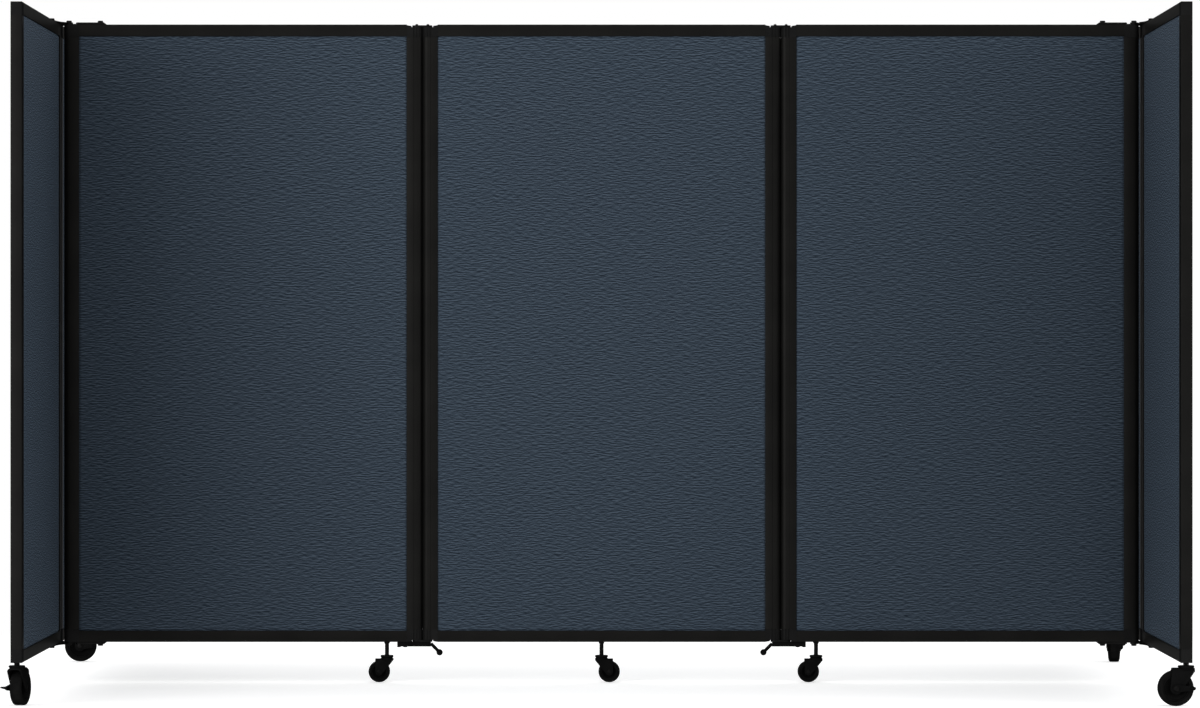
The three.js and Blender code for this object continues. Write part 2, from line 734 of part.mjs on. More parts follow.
const screen = new THREE.Group();
centrePanel(screen);
addSide(screen, 'right', 'right_front', 'right_rear', 0);
addSide(screen, 'left', 'left_rear', 'left_front', 180);

export default screen;
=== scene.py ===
import bpy
import bmesh
import json
import math
from mathutils import Matrix, Vector
from mathutils.geometry import convex_hull_2d


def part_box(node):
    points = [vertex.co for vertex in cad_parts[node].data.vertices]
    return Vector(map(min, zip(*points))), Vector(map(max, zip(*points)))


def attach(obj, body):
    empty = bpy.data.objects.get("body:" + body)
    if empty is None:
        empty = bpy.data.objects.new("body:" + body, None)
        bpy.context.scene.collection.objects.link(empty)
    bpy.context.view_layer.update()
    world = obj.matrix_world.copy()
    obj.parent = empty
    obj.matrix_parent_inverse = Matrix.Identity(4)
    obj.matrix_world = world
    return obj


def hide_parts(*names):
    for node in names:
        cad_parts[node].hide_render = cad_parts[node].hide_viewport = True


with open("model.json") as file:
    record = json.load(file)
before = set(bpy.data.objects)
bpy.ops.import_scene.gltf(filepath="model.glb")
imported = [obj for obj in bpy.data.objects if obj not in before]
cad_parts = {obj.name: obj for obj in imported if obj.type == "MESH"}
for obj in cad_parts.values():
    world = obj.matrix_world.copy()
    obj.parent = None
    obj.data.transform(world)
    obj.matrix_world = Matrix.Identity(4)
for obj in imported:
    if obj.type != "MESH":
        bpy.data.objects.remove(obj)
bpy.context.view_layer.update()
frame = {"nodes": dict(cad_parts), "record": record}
print("frame loaded,", len(frame["nodes"]), "nodes")

# each panel rides on the body of its own name; the words are the kinds of its two ends, low end first
panels = {
    "centre_panel": ("hinge", "hinge"),
    "left_panel": ("pivot", "lever"),
    "right_panel": ("lever", "pivot"),
    "left_front_wing": ("plain", "plain"),
    "left_rear_wing": ("plain", "plain"),
    "right_front_wing": ("plain", "plain"),
    "right_rear_wing": ("plain", "plain"),
}
sides = (("left", -1), ("right", 1))
jointPlaces = {joint["name"]: Vector(joint["pos_m"]) for joint in frame["record"]["behaviour"]["joints"]}
nodeBodies = {node: body for body, nodes in frame["record"]["behaviour"]["bodies"].items() for node in nodes}


# Helpers for objects and nodes
def newObject(name, data):
    piece = bpy.data.objects.new(name, data)
    bpy.context.collection.objects.link(piece)
    return piece


# a socket takes a value, the output of another node, or a node, which stands for its first output
def feed(tree, socket, value):
    if isinstance(value, bpy.types.Node):
        value = value.outputs[0]
    if isinstance(value, bpy.types.NodeSocket):
        tree.links.new(value, socket)
    else:
        socket.default_value = value


# a name that is none of the node's inputs is one of its settings
def setNode(tree, node, **wanted):
    for key, value in wanted.items():
        label = key.replace("_", " ")
        if label in node.inputs:
            feed(tree, node.inputs[label], value)
        else:
            setattr(node, key, value)
    return node


def addNode(tree, kind, **wanted):
    return setNode(tree, tree.nodes.new(kind), **wanted)


def newMaterial(name):
    material = bpy.data.materials.new(name)
    material.use_nodes = True
    return material, material.node_tree, material.node_tree.nodes["Principled BSDF"]


def objectPoint(tree, scale=(1, 1, 1)):
    source = addNode(tree, "ShaderNodeTexCoord")
    return addNode(tree, "ShaderNodeMapping", Vector=source.outputs["Object"], Scale=scale)


def noise(tree, point, scale, detail, rough):
    return addNode(tree, "ShaderNodeTexNoise", Vector=point, Scale=scale, Detail=detail, Roughness=rough)


def ramp(tree, value, *stops):
    node = addNode(tree, "ShaderNodeValToRGB", Fac=value)
    band = node.color_ramp
    while len(band.elements) < len(stops):
        band.elements.new(0.5)
    for element, (place, colour) in zip(band.elements, stops):
        element.position = place
        element.color = (*colour, 1)
    return node


def fromTo(tree, value, low, high, start=0.0, end=1.0):
    return addNode(tree, "ShaderNodeMapRange", Value=value, From_Min=start, From_Max=end, To_Min=low,
                   To_Max=high)


def maths(tree, operation, *values):
    node = addNode(tree, "ShaderNodeMath", operation=operation)
    for socket, value in zip(node.inputs, values):
        feed(tree, socket, value)
    return node


def bump(tree, height, strength, distance):
    return addNode(tree, "ShaderNodeBump", Height=height, Strength=strength, Distance=distance)


# one where a ray of one of these kinds looks at the surface, and else nought
def seenBy(tree, *kinds):
    path = addNode(tree, "ShaderNodeLightPath")
    seen = path.outputs[kinds[0]]
    for kind in kinds[1:]:
        seen = maths(tree, "MAXIMUM", seen, path.outputs[kind])
    return seen


# Camera, as the picture was taken: far off, level, a little above half height
cameraSet = {
    "lens": 153.45, "sensor": 36, "place": (0.0, -11.987, 0.7819), "shiftX": -0.00125, "shiftY": -0.0047,
    "near": 0.1, "far": 80,
}


def placeCamera():
    c = cameraSet
    data = bpy.data.cameras.new("pictureCamera")
    data.sensor_width = c["sensor"]
    data.lens = c["lens"]
    data.shift_x, data.shift_y = c["shiftX"], c["shiftY"]
    data.clip_start, data.clip_end = c["near"], c["far"]
    camera = newObject("pictureCamera", data)
    camera.location = c["place"]
    camera.rotation_euler = (math.radians(90), 0, 0)
    bpy.context.scene.camera = camera


placeCamera()
print("camera placed")


# Half matt black finishes, part diffuse and part soft mirror. The edge is the mirror's strength at flat angles,
# held down so that thin edges stay black against a white room.
finishBase = {"darkStop": 0.35, "lightStop": 0.7, "grainDepth": 0.0002, "edge": 0.06, "stretch": (1, 1, 1),
              "patchNoise": (4, 0.6), "grainNoise": (2, 0.5)}
finishSets = {
    "frameCoat": {  # satin coat on the extruded rails and stiles, with a fine orange peel
        "dark": (0.0088, 0.0087, 0.0084), "light": (0.0112, 0.0110, 0.0104), "patch": 9, "grain": 900,
        "roughness": (0.40, 0.50), "mirror": 0.55, "bump": 0.12, "edge": 0.20,
    },
    "capPlastic": {  # moulded corner caps, duller, with a spark texture
        "dark": (0.0090, 0.0090, 0.0090), "light": (0.0118, 0.0118, 0.0117), "patch": 14, "grain": 1400,
        "roughness": (0.52, 0.62), "mirror": 0.35, "bump": 0.18,
    },
    "blackSteel": {  # hinge plates and links, faintly brushed under their coat
        "dark": (0.0070, 0.0070, 0.0070), "light": (0.0120, 0.0118, 0.0115), "patch": 60, "grain": 260,
        "roughness": (0.34, 0.46), "mirror": 0.75, "bump": 0.10, "stretch": (1, 1, 6),
    },
    "boltSteel": {  # blackened screws and stems
        "dark": (0.0050, 0.0050, 0.0050), "light": (0.0095, 0.0092, 0.0090), "patch": 120, "grain": 700,
        "roughness": (0.36, 0.46), "mirror": 0.70, "bump": 0.08,
    },
    "casterPlastic": {  # moulded forks, pedals and levers
        "dark": (0.0042, 0.0042, 0.0042), "light": (0.0060, 0.0060, 0.0060), "patch": 30, "grain": 1100,
        "roughness": (0.48, 0.58), "mirror": 0.30, "bump": 0.15,
    },
    "treadRubber": {  # tyres, dull, with a little dust in them
        "dark": (0.0048, 0.0048, 0.0048), "light": (0.0080, 0.0079, 0.0077), "patch": 55, "grain": 1700,
        "roughness": (0.70, 0.82), "mirror": 0.2, "bump": 0.25,
    },
}


def makeBlackFinish(name):
    f = {**finishBase, **finishSets[name]}
    material, tree, shader = newMaterial(name)
    point = objectPoint(tree, f["stretch"])
    patch = noise(tree, point, f["patch"], *f["patchNoise"])
    grain = noise(tree, point, f["grain"], *f["grainNoise"])
    setNode(tree, shader, Metallic=f["mirror"], Specular_IOR_Level=0.0,
            Specular_Tint=(f["edge"], f["edge"], f["edge"], 1),
            Base_Color=ramp(tree, patch, (f["darkStop"], f["dark"]), (f["lightStop"], f["light"])),
            Roughness=fromTo(tree, grain, *f["roughness"]),
            Normal=bump(tree, grain, f["bump"], f["grainDepth"]))
    return material


# Crepe cloth: fine level crinkles that waver, fork and end, over a finer yarn. A crinkle is the difference of
# one noise read a little higher and a little lower, so that the cloth has no broad blotches. The crinkle also
# paints light into the colour: painted shade in its hollows and a painted highlight on its ridges.
# deep is painted shade in the crinkles' hollows and high is a painted highlight on their ridges; body is the
# cloth's own colour
crepeSet = {
    "deep": (0.0140, 0.0200, 0.0285), "body": (0.0322, 0.0448, 0.0612), "high": (0.0590, 0.0790, 0.1040),
    "crinkle": (56, 335), "gap": 0.0012, "span": 0.16, "wander": (24, 60, 0.0035), "yarn": 1100,
    "crinkleBump": 0.0009, "crinkleStrength": 0.5, "yarnBump": 0.0003, "yarnStrength": 0.35,
    "cloud": ((0.96, 0.96, 0.965), (1.0, 1.0, 1.0)), "cloudScale": (1.6, 1.1), "roughness": (0.88, 0.98),
    "shine": 0.02, "cloudStops": (0.3, 0.7), "cloudNoise": (2, 0.5), "wanderNoise": (3, 0.6),
    "fineNoise": (2, 0.6),
}


def makeCrepe():
    c = crepeSet
    material, tree, shader = newMaterial("crepeCloth")
    point = addNode(tree, "ShaderNodeTexCoord").outputs["Object"]
    split = addNode(tree, "ShaderNodeSeparateXYZ", Vector=point).outputs
    # the cloth lies along X on the main panels and along Y on the wings, so their sum runs along either
    along, up = maths(tree, "ADD", split["X"], split["Y"]), split["Z"]

    def stretched(acrossScale, upScale, height, detail, rough):
        place = addNode(tree, "ShaderNodeCombineXYZ", X=maths(tree, "MULTIPLY", along, acrossScale),
                        Z=maths(tree, "MULTIPLY", height, upScale))
        return noise(tree, place, 1, detail, rough)

    wide, tall, sway = c["wander"]
    swayed = maths(tree, "ADD", up, maths(tree, "MULTIPLY", stretched(wide, tall, up, *c["wanderNoise"]), sway))
    higher, lower = (stretched(*c["crinkle"], maths(tree, way, swayed, c["gap"]), *c["fineNoise"])
                     for way in ("ADD", "SUBTRACT"))
    crinkle = fromTo(tree, maths(tree, "SUBTRACT", higher, lower), 0.0, 1.0, -c["span"], c["span"])
    cloud = stretched(*c["cloudScale"], up, *c["cloudNoise"])
    # sockets 6 and 7 take the Mix node's two colours, and output 2 gives their mix
    shade = addNode(tree, "ShaderNodeMix", data_type="RGBA", blend_type="MULTIPLY", Factor=1.0)
    # painted shade and highlight: the crinkle turns the colour from deep through body to high
    feed(tree, shade.inputs[6], ramp(tree, crinkle, (0.0, c["deep"]), (0.5, c["body"]), (1.0, c["high"])))
    feed(tree, shade.inputs[7], ramp(tree, cloud, *zip(c["cloudStops"], c["cloud"])))
    yarn = noise(tree, point, c["yarn"], *c["fineNoise"])
    coarse = bump(tree, crinkle, c["crinkleStrength"], c["crinkleBump"])
    setNode(tree, coarse, Normal=bump(tree, yarn, c["yarnStrength"], c["yarnBump"]))
    setNode(tree, shader, Base_Color=shade.outputs[2], Normal=coarse,
            Roughness=fromTo(tree, yarn, *c["roughness"]), Specular_IOR_Level=c["shine"])
    return material


frameCoat, capPlastic, blackSteel, boltSteel, casterPlastic, treadRubber = (
    makeBlackFinish(name) for name in finishSets)
crepeCloth = makeCrepe()
print("materials made")


# Mesh helpers
def addPiece(name, mesh, material, slot, node, matrix=None):
    if matrix is not None:
        mesh = placed(mesh, matrix)
    mesh.name = name
    mesh.materials.clear()
    mesh.materials.append(material)
    piece = newObject(name, mesh)
    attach(piece, nodeBodies[node])
    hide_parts(node)


def smoothed(mesh, degrees):
    for face in mesh.polygons:
        face.use_smooth = True
    mesh.set_sharp_from_angle(angle=math.radians(degrees))
    return mesh


# the evaluated result of a piece's modifiers becomes a plain mesh, and the piece goes
def baked(piece):
    mesh = bpy.data.meshes.new_from_object(piece.evaluated_get(bpy.context.evaluated_depsgraph_get()))
    old = piece.data
    bpy.data.objects.remove(piece)
    bpy.data.meshes.remove(old)
    return mesh


def finishMesh(work, degrees=32):
    bmesh.ops.recalc_face_normals(work, faces=work.faces)
    mesh = bpy.data.meshes.new("work")
    work.to_mesh(mesh)
    work.free()
    return smoothed(mesh, degrees)


# an outline of (a, b) points run from start to end, set in space by place(a, b, level)
def prism(work, outline, place, start, end):
    ends = [[work.verts.new(place(a, b, level)) for a, b in outline] for level in (start, end)]
    for n in range(len(outline)):
        m = (n + 1) % len(outline)
        work.faces.new([ends[0][n], ends[0][m], ends[1][m], ends[1][n]])
    work.faces.new(ends[0])
    work.faces.new(list(reversed(ends[1])))


def prismMesh(outline, place, start, end):
    work = bmesh.new()
    prism(work, outline, place, start, end)
    return finishMesh(work)


def risen(outline, z0, z1):
    return prismMesh(outline, lambda a, b, level: Vector((a, b, level)), z0, z1)


def runAlongX(outline, x0, x1):
    return prismMesh(outline, lambda a, b, level: Vector((level, a, b)), x0, x1)


def runAlongY(outline, y0, y1):
    return prismMesh(outline, lambda a, b, level: Vector((a, level, b)), y0, y1)


# rings of (radius, height) about Z; a third value marks a six-sided ring, measured across its flats
def turned(rings, steps=48, closed=False, degrees=32):
    work = bmesh.new()
    rows = []
    for ring in rings:
        radius, height = ring[:2]
        if radius == 0:
            rows.append([work.verts.new((0, 0, height))] * steps)
            continue
        row = []
        for n in range(steps):
            angle = 2 * math.pi * n / steps
            reach = radius
            if len(ring) > 2:
                reach /= math.cos((angle + math.pi / 6) % (math.pi / 3) - math.pi / 6)
            row.append(work.verts.new((reach * math.cos(angle), reach * math.sin(angle), height)))
        rows.append(row)
    if closed:
        rows.append(rows[0])
    for low, high in zip(rows, rows[1:]):
        for n in range(steps):
            m = (n + 1) % steps
            corners = []
            for corner in (low[n], low[m], high[m], high[n]):
                if corner not in corners:
                    corners.append(corner)
            if len(corners) > 2:
                work.faces.new(corners)
    return finishMesh(work, degrees)


def arc(x, y, radius, start, end, steps):
    angles = [math.radians(start + (end - start) * n / steps) for n in range(steps + 1)]
    return [(x + radius * math.cos(angle), y + radius * math.sin(angle)) for angle in angles]


def disc(x, y, radius, sides=32):
    return arc(x, y, radius, 0, 360 - 360 / sides, sides - 1)


def rectangle(x0, x1, y0, y1):
    return [(x0, y0), (x1, y0), (x1, y1), (x0, y1)]


def hull(points):
    return [points[n] for n in convex_hull_2d([Vector(point) for point in points])]


# a shape made by joining and cutting meshes, then easing its edges
def built(base, *steps, ease=0.0, easeSteps=2, degrees=35):
    piece = newObject("work", base)
    tools = []
    for operation, mesh in steps:
        tools.append(newObject("tool", mesh))
        mod = piece.modifiers.new("step", "BOOLEAN")
        mod.operation, mod.solver, mod.object = operation, "EXACT", tools[-1]
    if ease:
        mod = piece.modifiers.new("ease", "BEVEL")
        mod.width, mod.segments = ease, easeSteps
        mod.limit_method, mod.angle_limit = "ANGLE", math.radians(degrees)
    mesh = baked(piece)
    for tool in tools:
        bpy.data.objects.remove(tool)
    return smoothed(mesh, degrees)


def placed(mesh, matrix):
    copy = mesh.copy()
    copy.transform(matrix)
    if matrix.determinant() < 0:
        copy.flip_normals()
    return copy


# Geometry Nodes helpers
def newTree(name, **sockets):
    tree = bpy.data.node_groups.new(name, "GeometryNodeTree")
    face = tree.interface
    face.new_socket("Geometry", in_out="INPUT", socket_type="NodeSocketGeometry")
    for label, kind in sockets.items():
        face.new_socket(label.replace("_", " "), in_out="INPUT", socket_type="NodeSocket" + kind)
    face.new_socket("Geometry", in_out="OUTPUT", socket_type="NodeSocketGeometry")
    return tree, tree.nodes.new("NodeGroupInput")


def endTree(tree, entry, geometry):
    real = addNode(tree, "GeometryNodeRealizeInstances", Geometry=geometry)
    finish = addNode(tree, "GeometryNodeSetMaterial", Geometry=real, Material=entry.outputs["Finish"])
    addNode(tree, "NodeGroupOutput", Geometry=finish)
    return tree


def grow(tree, **values):
    piece = newObject("work", bpy.data.meshes.new("work"))
    mod = piece.modifiers.new("grow", "NODES")
    mod.node_group = tree
    names = {item.name: item.identifier for item in tree.interface.items_tree
             if item.item_type == "SOCKET" and item.in_out == "INPUT"}
    for label, value in values.items():
        mod[names[label.replace("_", " ")]] = value
    return baked(piece)


# Cloth boards: a taut skin whose edges turn down into the frame's groove
clothSet = {
    "pad": 0.0016, "tuck": 0.0020, "tuckWidth": 0.006, "hidden": 0.0081, "hiddenShare": 0.6,
    "tuckShares": (0.12, 0.3, 0.6, 1), "columns": 8, "rows": 12, "crease": 50,
}


def makeCloth(panel):
    c = clothSet
    low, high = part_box(panel + "_fabric")
    run = 0 if high.x - low.x > high.y - low.y else 1
    across = 1 - run
    middle, half = (low[across] + high[across]) / 2, (high[across] - low[across]) / 2

    # places along one side, closer together at both ends where the skin turns down
    def places(start, end, count):
        near = [0, c["hidden"] * c["hiddenShare"], c["hidden"]]
        near += [c["hidden"] + c["tuckWidth"] * share for share in c["tuckShares"]]
        inner = [near[-1] + (end - start - 2 * near[-1]) * n / count for n in range(1, count)]
        return [start + p for p in near + inner] + [end - p for p in reversed(near)]

    def drop(u, start, end):
        share = max(0.0, 1 - max(0.0, min(u - start, end - u) - c["hidden"]) / c["tuckWidth"])
        return c["tuck"] * share * share

    us, vs = places(low[run], high[run], c["columns"]), places(low.z, high.z, c["rows"])
    lastU, lastV = len(us) - 1, len(vs) - 1
    work = bmesh.new()
    grid = {}
    for side in (-1, 1):
        for i, u in enumerate(us):
            for j, v in enumerate(vs):
                sunk = drop(u, low[run], high[run]) + drop(v, low.z, high.z)
                place = Vector((0, 0, v))
                place[run] = u
                place[across] = middle + side * (half + c["pad"] - sunk)
                grid[side, i, j] = work.verts.new(place)
    faces = [[(side, i, j), (side, i + 1, j), (side, i + 1, j + 1), (side, i, j + 1)]
             for side in (-1, 1) for i in range(lastU) for j in range(lastV)]
    faces += [[(-1, i, j), (-1, i + 1, j), (1, i + 1, j), (1, i, j)] for i in range(lastU) for j in (0, lastV)]
    faces += [[(-1, i, j), (-1, i, j + 1), (1, i, j + 1), (1, i, j)] for j in range(lastV) for i in (0, lastU)]
    for face in faces:
        work.faces.new([grid[corner] for corner in face])
    addPiece(panel + "Cloth", finishMesh(work, c["crease"]), crepeCloth, "slate_fabric", panel + "_fabric")


for panel in panels:
    makeCloth(panel)
print("cloth boards made")


# Frames: each panel's stiles, rails and caps as pieces of their own, with the fine seams that show between them
frameSet = {
    "top": 1.540, "bottom": 0.0945, "thickness": 0.0254, "stile": 0.0361, "corner": 0.0025,
    "topRail": 0.0274, "bottomRail": 0.0264, "grooveDepth": 0.008, "grooveHalf": 0.0103, "capHeight": 0.0286,
    "capDrop": 0.0014, "seam": 0.0002, "railEase": 0.0012, "lipEase": 0.0006, "noseSteps": 20,
    "coreInset": 0.0006, "coreReach": 0.0008, "lineReach": 0.0195, "lineWidth": 0.0004, "lineDepth": 0.0005,
    "cornerSteps": 5, "easeShare": 0.3,  # how far an eased corner's middle point is drawn in
    "hingeTouch": 0.00031,  # the hinge stiles' noses reach each other, so that no light shows between them
}
turningKinds = ("hinge", "lever")


# A stile's outer edge: half round at a hinge or pivot, flat with eased corners where nothing turns. The inset
# draws the slimmer core that fills the seams from behind.
def outerEdge(kind, inset=0.0):
    s = frameSet
    half = s["thickness"] / 2
    if kind == "plain":
        radius = s["corner"]
        return [*arc(radius + inset, half - radius - inset, radius, 90, 180, s["cornerSteps"]),
                *arc(radius + inset, radius - half + inset, radius, 180, 270, s["cornerSteps"])]
    reach = half + (s["hingeTouch"] if kind in turningKinds else 0) - inset
    angles = [math.pi / 2 + math.pi * n / s["noseSteps"] for n in range(s["noseSteps"] + 1)]
    return [(half + reach * math.cos(angle), (half - inset) * math.sin(angle)) for angle in angles]


def stileOutline(kind, inset):
    s = frameSet
    half, groove, ease, width = s["thickness"] / 2 - inset, s["grooveHalf"] + inset, s["lipEase"], s["stile"]
    inner, soft = width - s["grooveDepth"] - inset, ease * s["easeShare"]
    lip = [(width, half - ease), (width - soft, half - soft), (width - ease, half)]
    if kind in turningKinds:
        middle, wide, deep = s["lineReach"], s["lineWidth"] / 2, half - s["lineDepth"]
        lip += [(middle + 2 * wide, half), (middle + wide, deep),
                (middle - wide, deep), (middle - 2 * wide, half)]
    back = [(x, -y) for x, y in reversed(lip)]
    return [(width, -groove), (inner, -groove), (inner, groove), (width, groove), *lip,
            *outerEdge(kind, inset), *back]


def railOutline(height, inset):
    s = frameSet
    half, groove, ease, lip = s["thickness"] / 2 - inset, s["grooveHalf"] + inset, s["railEase"], s["lipEase"]
    foot, head, floor, soft = inset, height - inset, height - s["grooveDepth"] - inset, ease * s["easeShare"]
    return [
        (-half, foot + ease), (soft - half, foot + soft), (ease - half, foot), (half - ease, foot),
        (half - soft, foot + soft), (half, foot + ease), (half, head - lip), (half - lip, head),
        (groove, head), (groove, floor), (-groove, floor), (-groove, head),
        (lip - half, head), (-half, head - lip),
    ]


# a panel's two ends along its run, and the way from (run, across, height) to a point in space
def panelRun(panel):
    low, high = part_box(panel + "_frame")
    axis = 0 if high.x - low.x > high.y - low.y else 1
    other = 1 - axis
    middle = (low[other] + high[other]) / 2

    def place(run, across, height):
        point = Vector((0, 0, height))
        point[axis] = run
        point[other] = middle + across
        return point

    return low[axis], high[axis], place


def makeStilesAndRails(panel):
    s = frameSet
    start, end, place = panelRun(panel)
    near, far = panels[panel]
    capFoot = s["capDrop"] + s["capHeight"] + s["seam"]
    low, high = s["bottom"] + capFoot, s["top"] - capFoot
    left, right = start + s["stile"] + s["seam"], end - s["stile"] - s["seam"]
    stileWork, railWork = bmesh.new(), bmesh.new()
    # the full section, and a slimmer core that reaches across the seams so that no light comes through them
    for inset, reach in ((0.0, 0.0), (s["coreInset"], s["coreReach"])):
        for kind, base, way in ((near, start, 1), (far, end, -1)):
            prism(stileWork, stileOutline(kind, inset), lambda a, b, level: place(base + way * a, b, level),
                  low - reach, high + reach)
        for height, base, way in ((s["bottomRail"], s["bottom"], 1), (s["topRail"], s["top"], -1)):
            prism(railWork, railOutline(height, inset), lambda a, b, run: place(run, a, base + way * b),
                  left - reach, right + reach)
    for word, work in (("Stiles", stileWork), ("Rails", railWork)):
        addPiece(panel + word, finishMesh(work), frameCoat, "frame_black", panel + "_frame")


for panel in panels:
    makeStilesAndRails(panel)
print("stiles and rails made")


# Corner caps: one moulding of each kind is cut, then a node tree sets it at the panel's corners. A hinge cap
# has a step for the link and a shoulder that falls towards it, but none where a lever turns under the link.
capSet = {
    "hingeRound": 0.0028, "flushRound": 0.0008, "roundSteps": 4, "linkStep": 0.0254, "leverStep": 0.0239,
    "shoulder": 0.0018, "stepDepth": 0.0045, "fluteRadius": 0.0018,
    "flutePitch": 0.007, "fluteInset": 0.0051, "flutes": 3, "fluteSides": 12, "pinHole": 0.0028,
    "pivotHole": 0.0043, "pivotInset": 0.0116, "holeDepth": 0.020, "overrun": 0.004, "crease": 28, "tiny": 1e-6,
}
# the moulds at the top and the bottom of each kind of end
capMoulds = {
    "hinge": ("hingeTop", "hingeFoot"), "lever": ("hingeTop", "leverFoot"), "pivot": ("pivot", "pivot"),
    "plain": ("plain", "plain"),
}


def makeCapMould(kind):
    s, c = frameSet, capSet
    width, half, over = s["stile"], s["thickness"] / 2, c["overrun"]
    turning = kind in ("hingeTop", "hingeFoot", "leverFoot")
    full = s["capHeight"] + s["capDrop"] - s["seam"]
    height = full - s["capDrop"] if kind == "hingeTop" else full
    above = height + over
    edge = outerEdge("hinge" if turning else kind)
    blank = risen([(width, -half), (width, half), *edge], 0, height)
    work = bmesh.new()
    work.from_mesh(blank)
    # the upper edge is rounded, but not where the rail meets it
    rim = [line for line in work.edges if all(vert.co.z > height - c["tiny"] for vert in line.verts)
           and not all(vert.co.x > width - c["tiny"] for vert in line.verts)]
    soft = c["hingeRound"] if turning else c["flushRound"]
    bmesh.ops.bevel(work, geom=rim, offset=soft, segments=c["roundSteps"], profile=0.5, affect="EDGES")
    work.to_mesh(blank)
    work.free()
    pocket = rectangle(width - s["grooveDepth"], width + over, -s["grooveHalf"], s["grooveHalf"])
    cuts = [risen(pocket, -over, full - s["bottomRail"] + s["grooveDepth"])]
    if turning:
        seat, shoulder = height - c["stepDepth"], height - c["shoulder"]
        reach = c["leverStep"] if kind == "leverFoot" else c["linkStep"]
        step = [(-over, seat), (reach, seat)]
        if kind == "leverFoot":
            step += [(reach, above), (-over, above)]
        else:
            rise = c["shoulder"] * over / (width - reach)
            step += [(reach, shoulder), (width + over, height + rise), (width + over, above), (-over, above)]
        cuts.append(runAlongY(step, -half - over, half + over))
        cuts.append(risen(disc(half, 0, c["pinHole"]), height - c["holeDepth"], above))
        for n in range(c["flutes"]):
            x = c["fluteInset"] + n * c["flutePitch"]
            y = math.sqrt(half * half - min(x - half, 0) ** 2)
            for side in (-1, 1):
                flute = disc(x, side * y, c["fluteRadius"], c["fluteSides"])
                cuts.append(risen(flute, -over, above))
    if kind == "pivot":
        hole = disc(c["pivotInset"], 0, c["pivotHole"])
        cuts.append(risen(hole, height - c["holeDepth"], above))
    mesh = built(blank, *(("DIFFERENCE", tool) for tool in cuts), degrees=c["crease"])
    return newObject(kind + "CapMould", mesh)


# each corner is a mould made for the top of the near end, mirrored for the far end and for the bottom
def makeCapTree():
    tree, entry = newTree("cornerCaps", Near_Top="Object", Near_Bottom="Object", Far_Top="Object",
                          Far_Bottom="Object", Start="Float", End="Float", Top="Float", Bottom="Float",
                          Finish="Material")
    given = entry.outputs
    join = addNode(tree, "GeometryNodeJoinGeometry")
    for side, run, turn in (("Near", "Start", 1), ("Far", "End", -1)):
        for level, flip in (("Top", 1), ("Bottom", -1)):
            info = addNode(tree, "GeometryNodeObjectInfo", Object=given[side + " " + level])
            spot = addNode(tree, "ShaderNodeCombineXYZ", X=given[run], Z=given[level])
            last = addNode(tree, "GeometryNodeTransform", Geometry=info.outputs["Geometry"], Translation=spot,
                           Scale=(turn, 1, flip))
            if turn * flip < 0:
                last = addNode(tree, "GeometryNodeFlipFaces", Mesh=last)
            setNode(tree, join, Geometry=last)
    return endTree(tree, entry, join)


def makeCaps(panel, moulds, tree):
    s = frameSet
    start, end, place = panelRun(panel)
    foot = s["capDrop"] + s["capHeight"] - s["seam"]
    corners = [moulds[kind] for ending in panels[panel] for kind in capMoulds[ending]]
    corners = dict(zip(("Near_Top", "Near_Bottom", "Far_Top", "Far_Bottom"), corners))
    mesh = grow(tree, Start=start, End=end, Top=s["top"] - foot, Bottom=s["bottom"] + foot,
                Finish=capPlastic, **corners)
    # the tree lays the caps along X; a wing's caps change to its own run, which turns their faces inside out
    for vertex in mesh.vertices:
        run, across, height = vertex.co
        vertex.co = place(run, across, height)
    if panel.endswith("wing"):
        mesh.flip_normals()
    addPiece(panel + "Caps", mesh, capPlastic, "frame_black", panel + "_frame")


moulds = {kind: makeCapMould(kind) for kind in ("hingeTop", "hingeFoot", "leverFoot", "pivot", "plain")}
capTree = makeCapTree()
for panel in panels:
    makeCaps(panel, moulds, capTree)
for mould in moulds.values():
    bpy.data.objects.remove(mould)
print("corner caps made")


# the same place under the frame, mirrored about the frame's mid height
underside = Matrix.Translation((0, 0, frameSet["top"] + frameSet["bottom"])) @ Matrix.Diagonal((1, 1, -1, 1))


# Button head bolts with a hexagon socket, drawn with the head's seat at zero
boltSet = {
    "headRadius": 0.0063, "headHeight": 0.0042, "ease": 0.0008, "socket": 0.0024, "socketDepth": 0.0024,
    "shank": 0.003, "length": 0.018, "pivotShank": 0.004, "pivotLength": 0.025, "domeSteps": 5,
    "socketMouth": 1.35, "socketChamfer": 0.0003, "drillPoint": 0.0006,
}


def boltMesh(shank, length):
    b = boltSet
    radius, top, ease, socket = b["headRadius"], b["headHeight"], b["ease"], b["socket"]
    return turned([
        (0, -length), (shank - ease / 2, -length), (shank, ease / 2 - length), (shank, 0),
        (radius - ease / 4, 0), (radius, ease / 4),
        *arc(radius - 2 * ease, top - 2 * ease, 2 * ease, 0, 90, b["domeSteps"]),
        (socket * b["socketMouth"], top), (socket, top - b["socketChamfer"], True),
        (socket, top - b["socketDepth"], True), (0, top - b["socketDepth"] - b["drillPoint"]),
    ])


# End hinges: one arm on the main panel and one on each wing share a pivot, above and below
armSet = {
    "base": 1.5403, "thickness": 0.005, "gap": 0.0003, "width": 0.014, "eye": 0.009, "leafReach": 0.026,
    "noseTip": 0.0160, "noseEnd": 0.0200, "swell": 0.00012, "seat": 0.00025, "wingReach": 0.089, "bend": 0.027,
    "plateWidth": 0.018, "plateReach": 0.0892, "boltReach": 0.0735, "slope": 0.007, "ease": 0.0006,
    "steps": 24, "eyeSides": 48, "clearSides": 64, "overrun": 0.01,
}
leafThickness = (armSet["thickness"] - 2 * armSet["gap"]) / 3
armTop = armSet["base"] + armSet["thickness"]
pivotX = abs(jointPlaces["right_front_wing_fold"].x)
wingOffset = abs(jointPlaces["right_front_swivel"].x) - pivotX


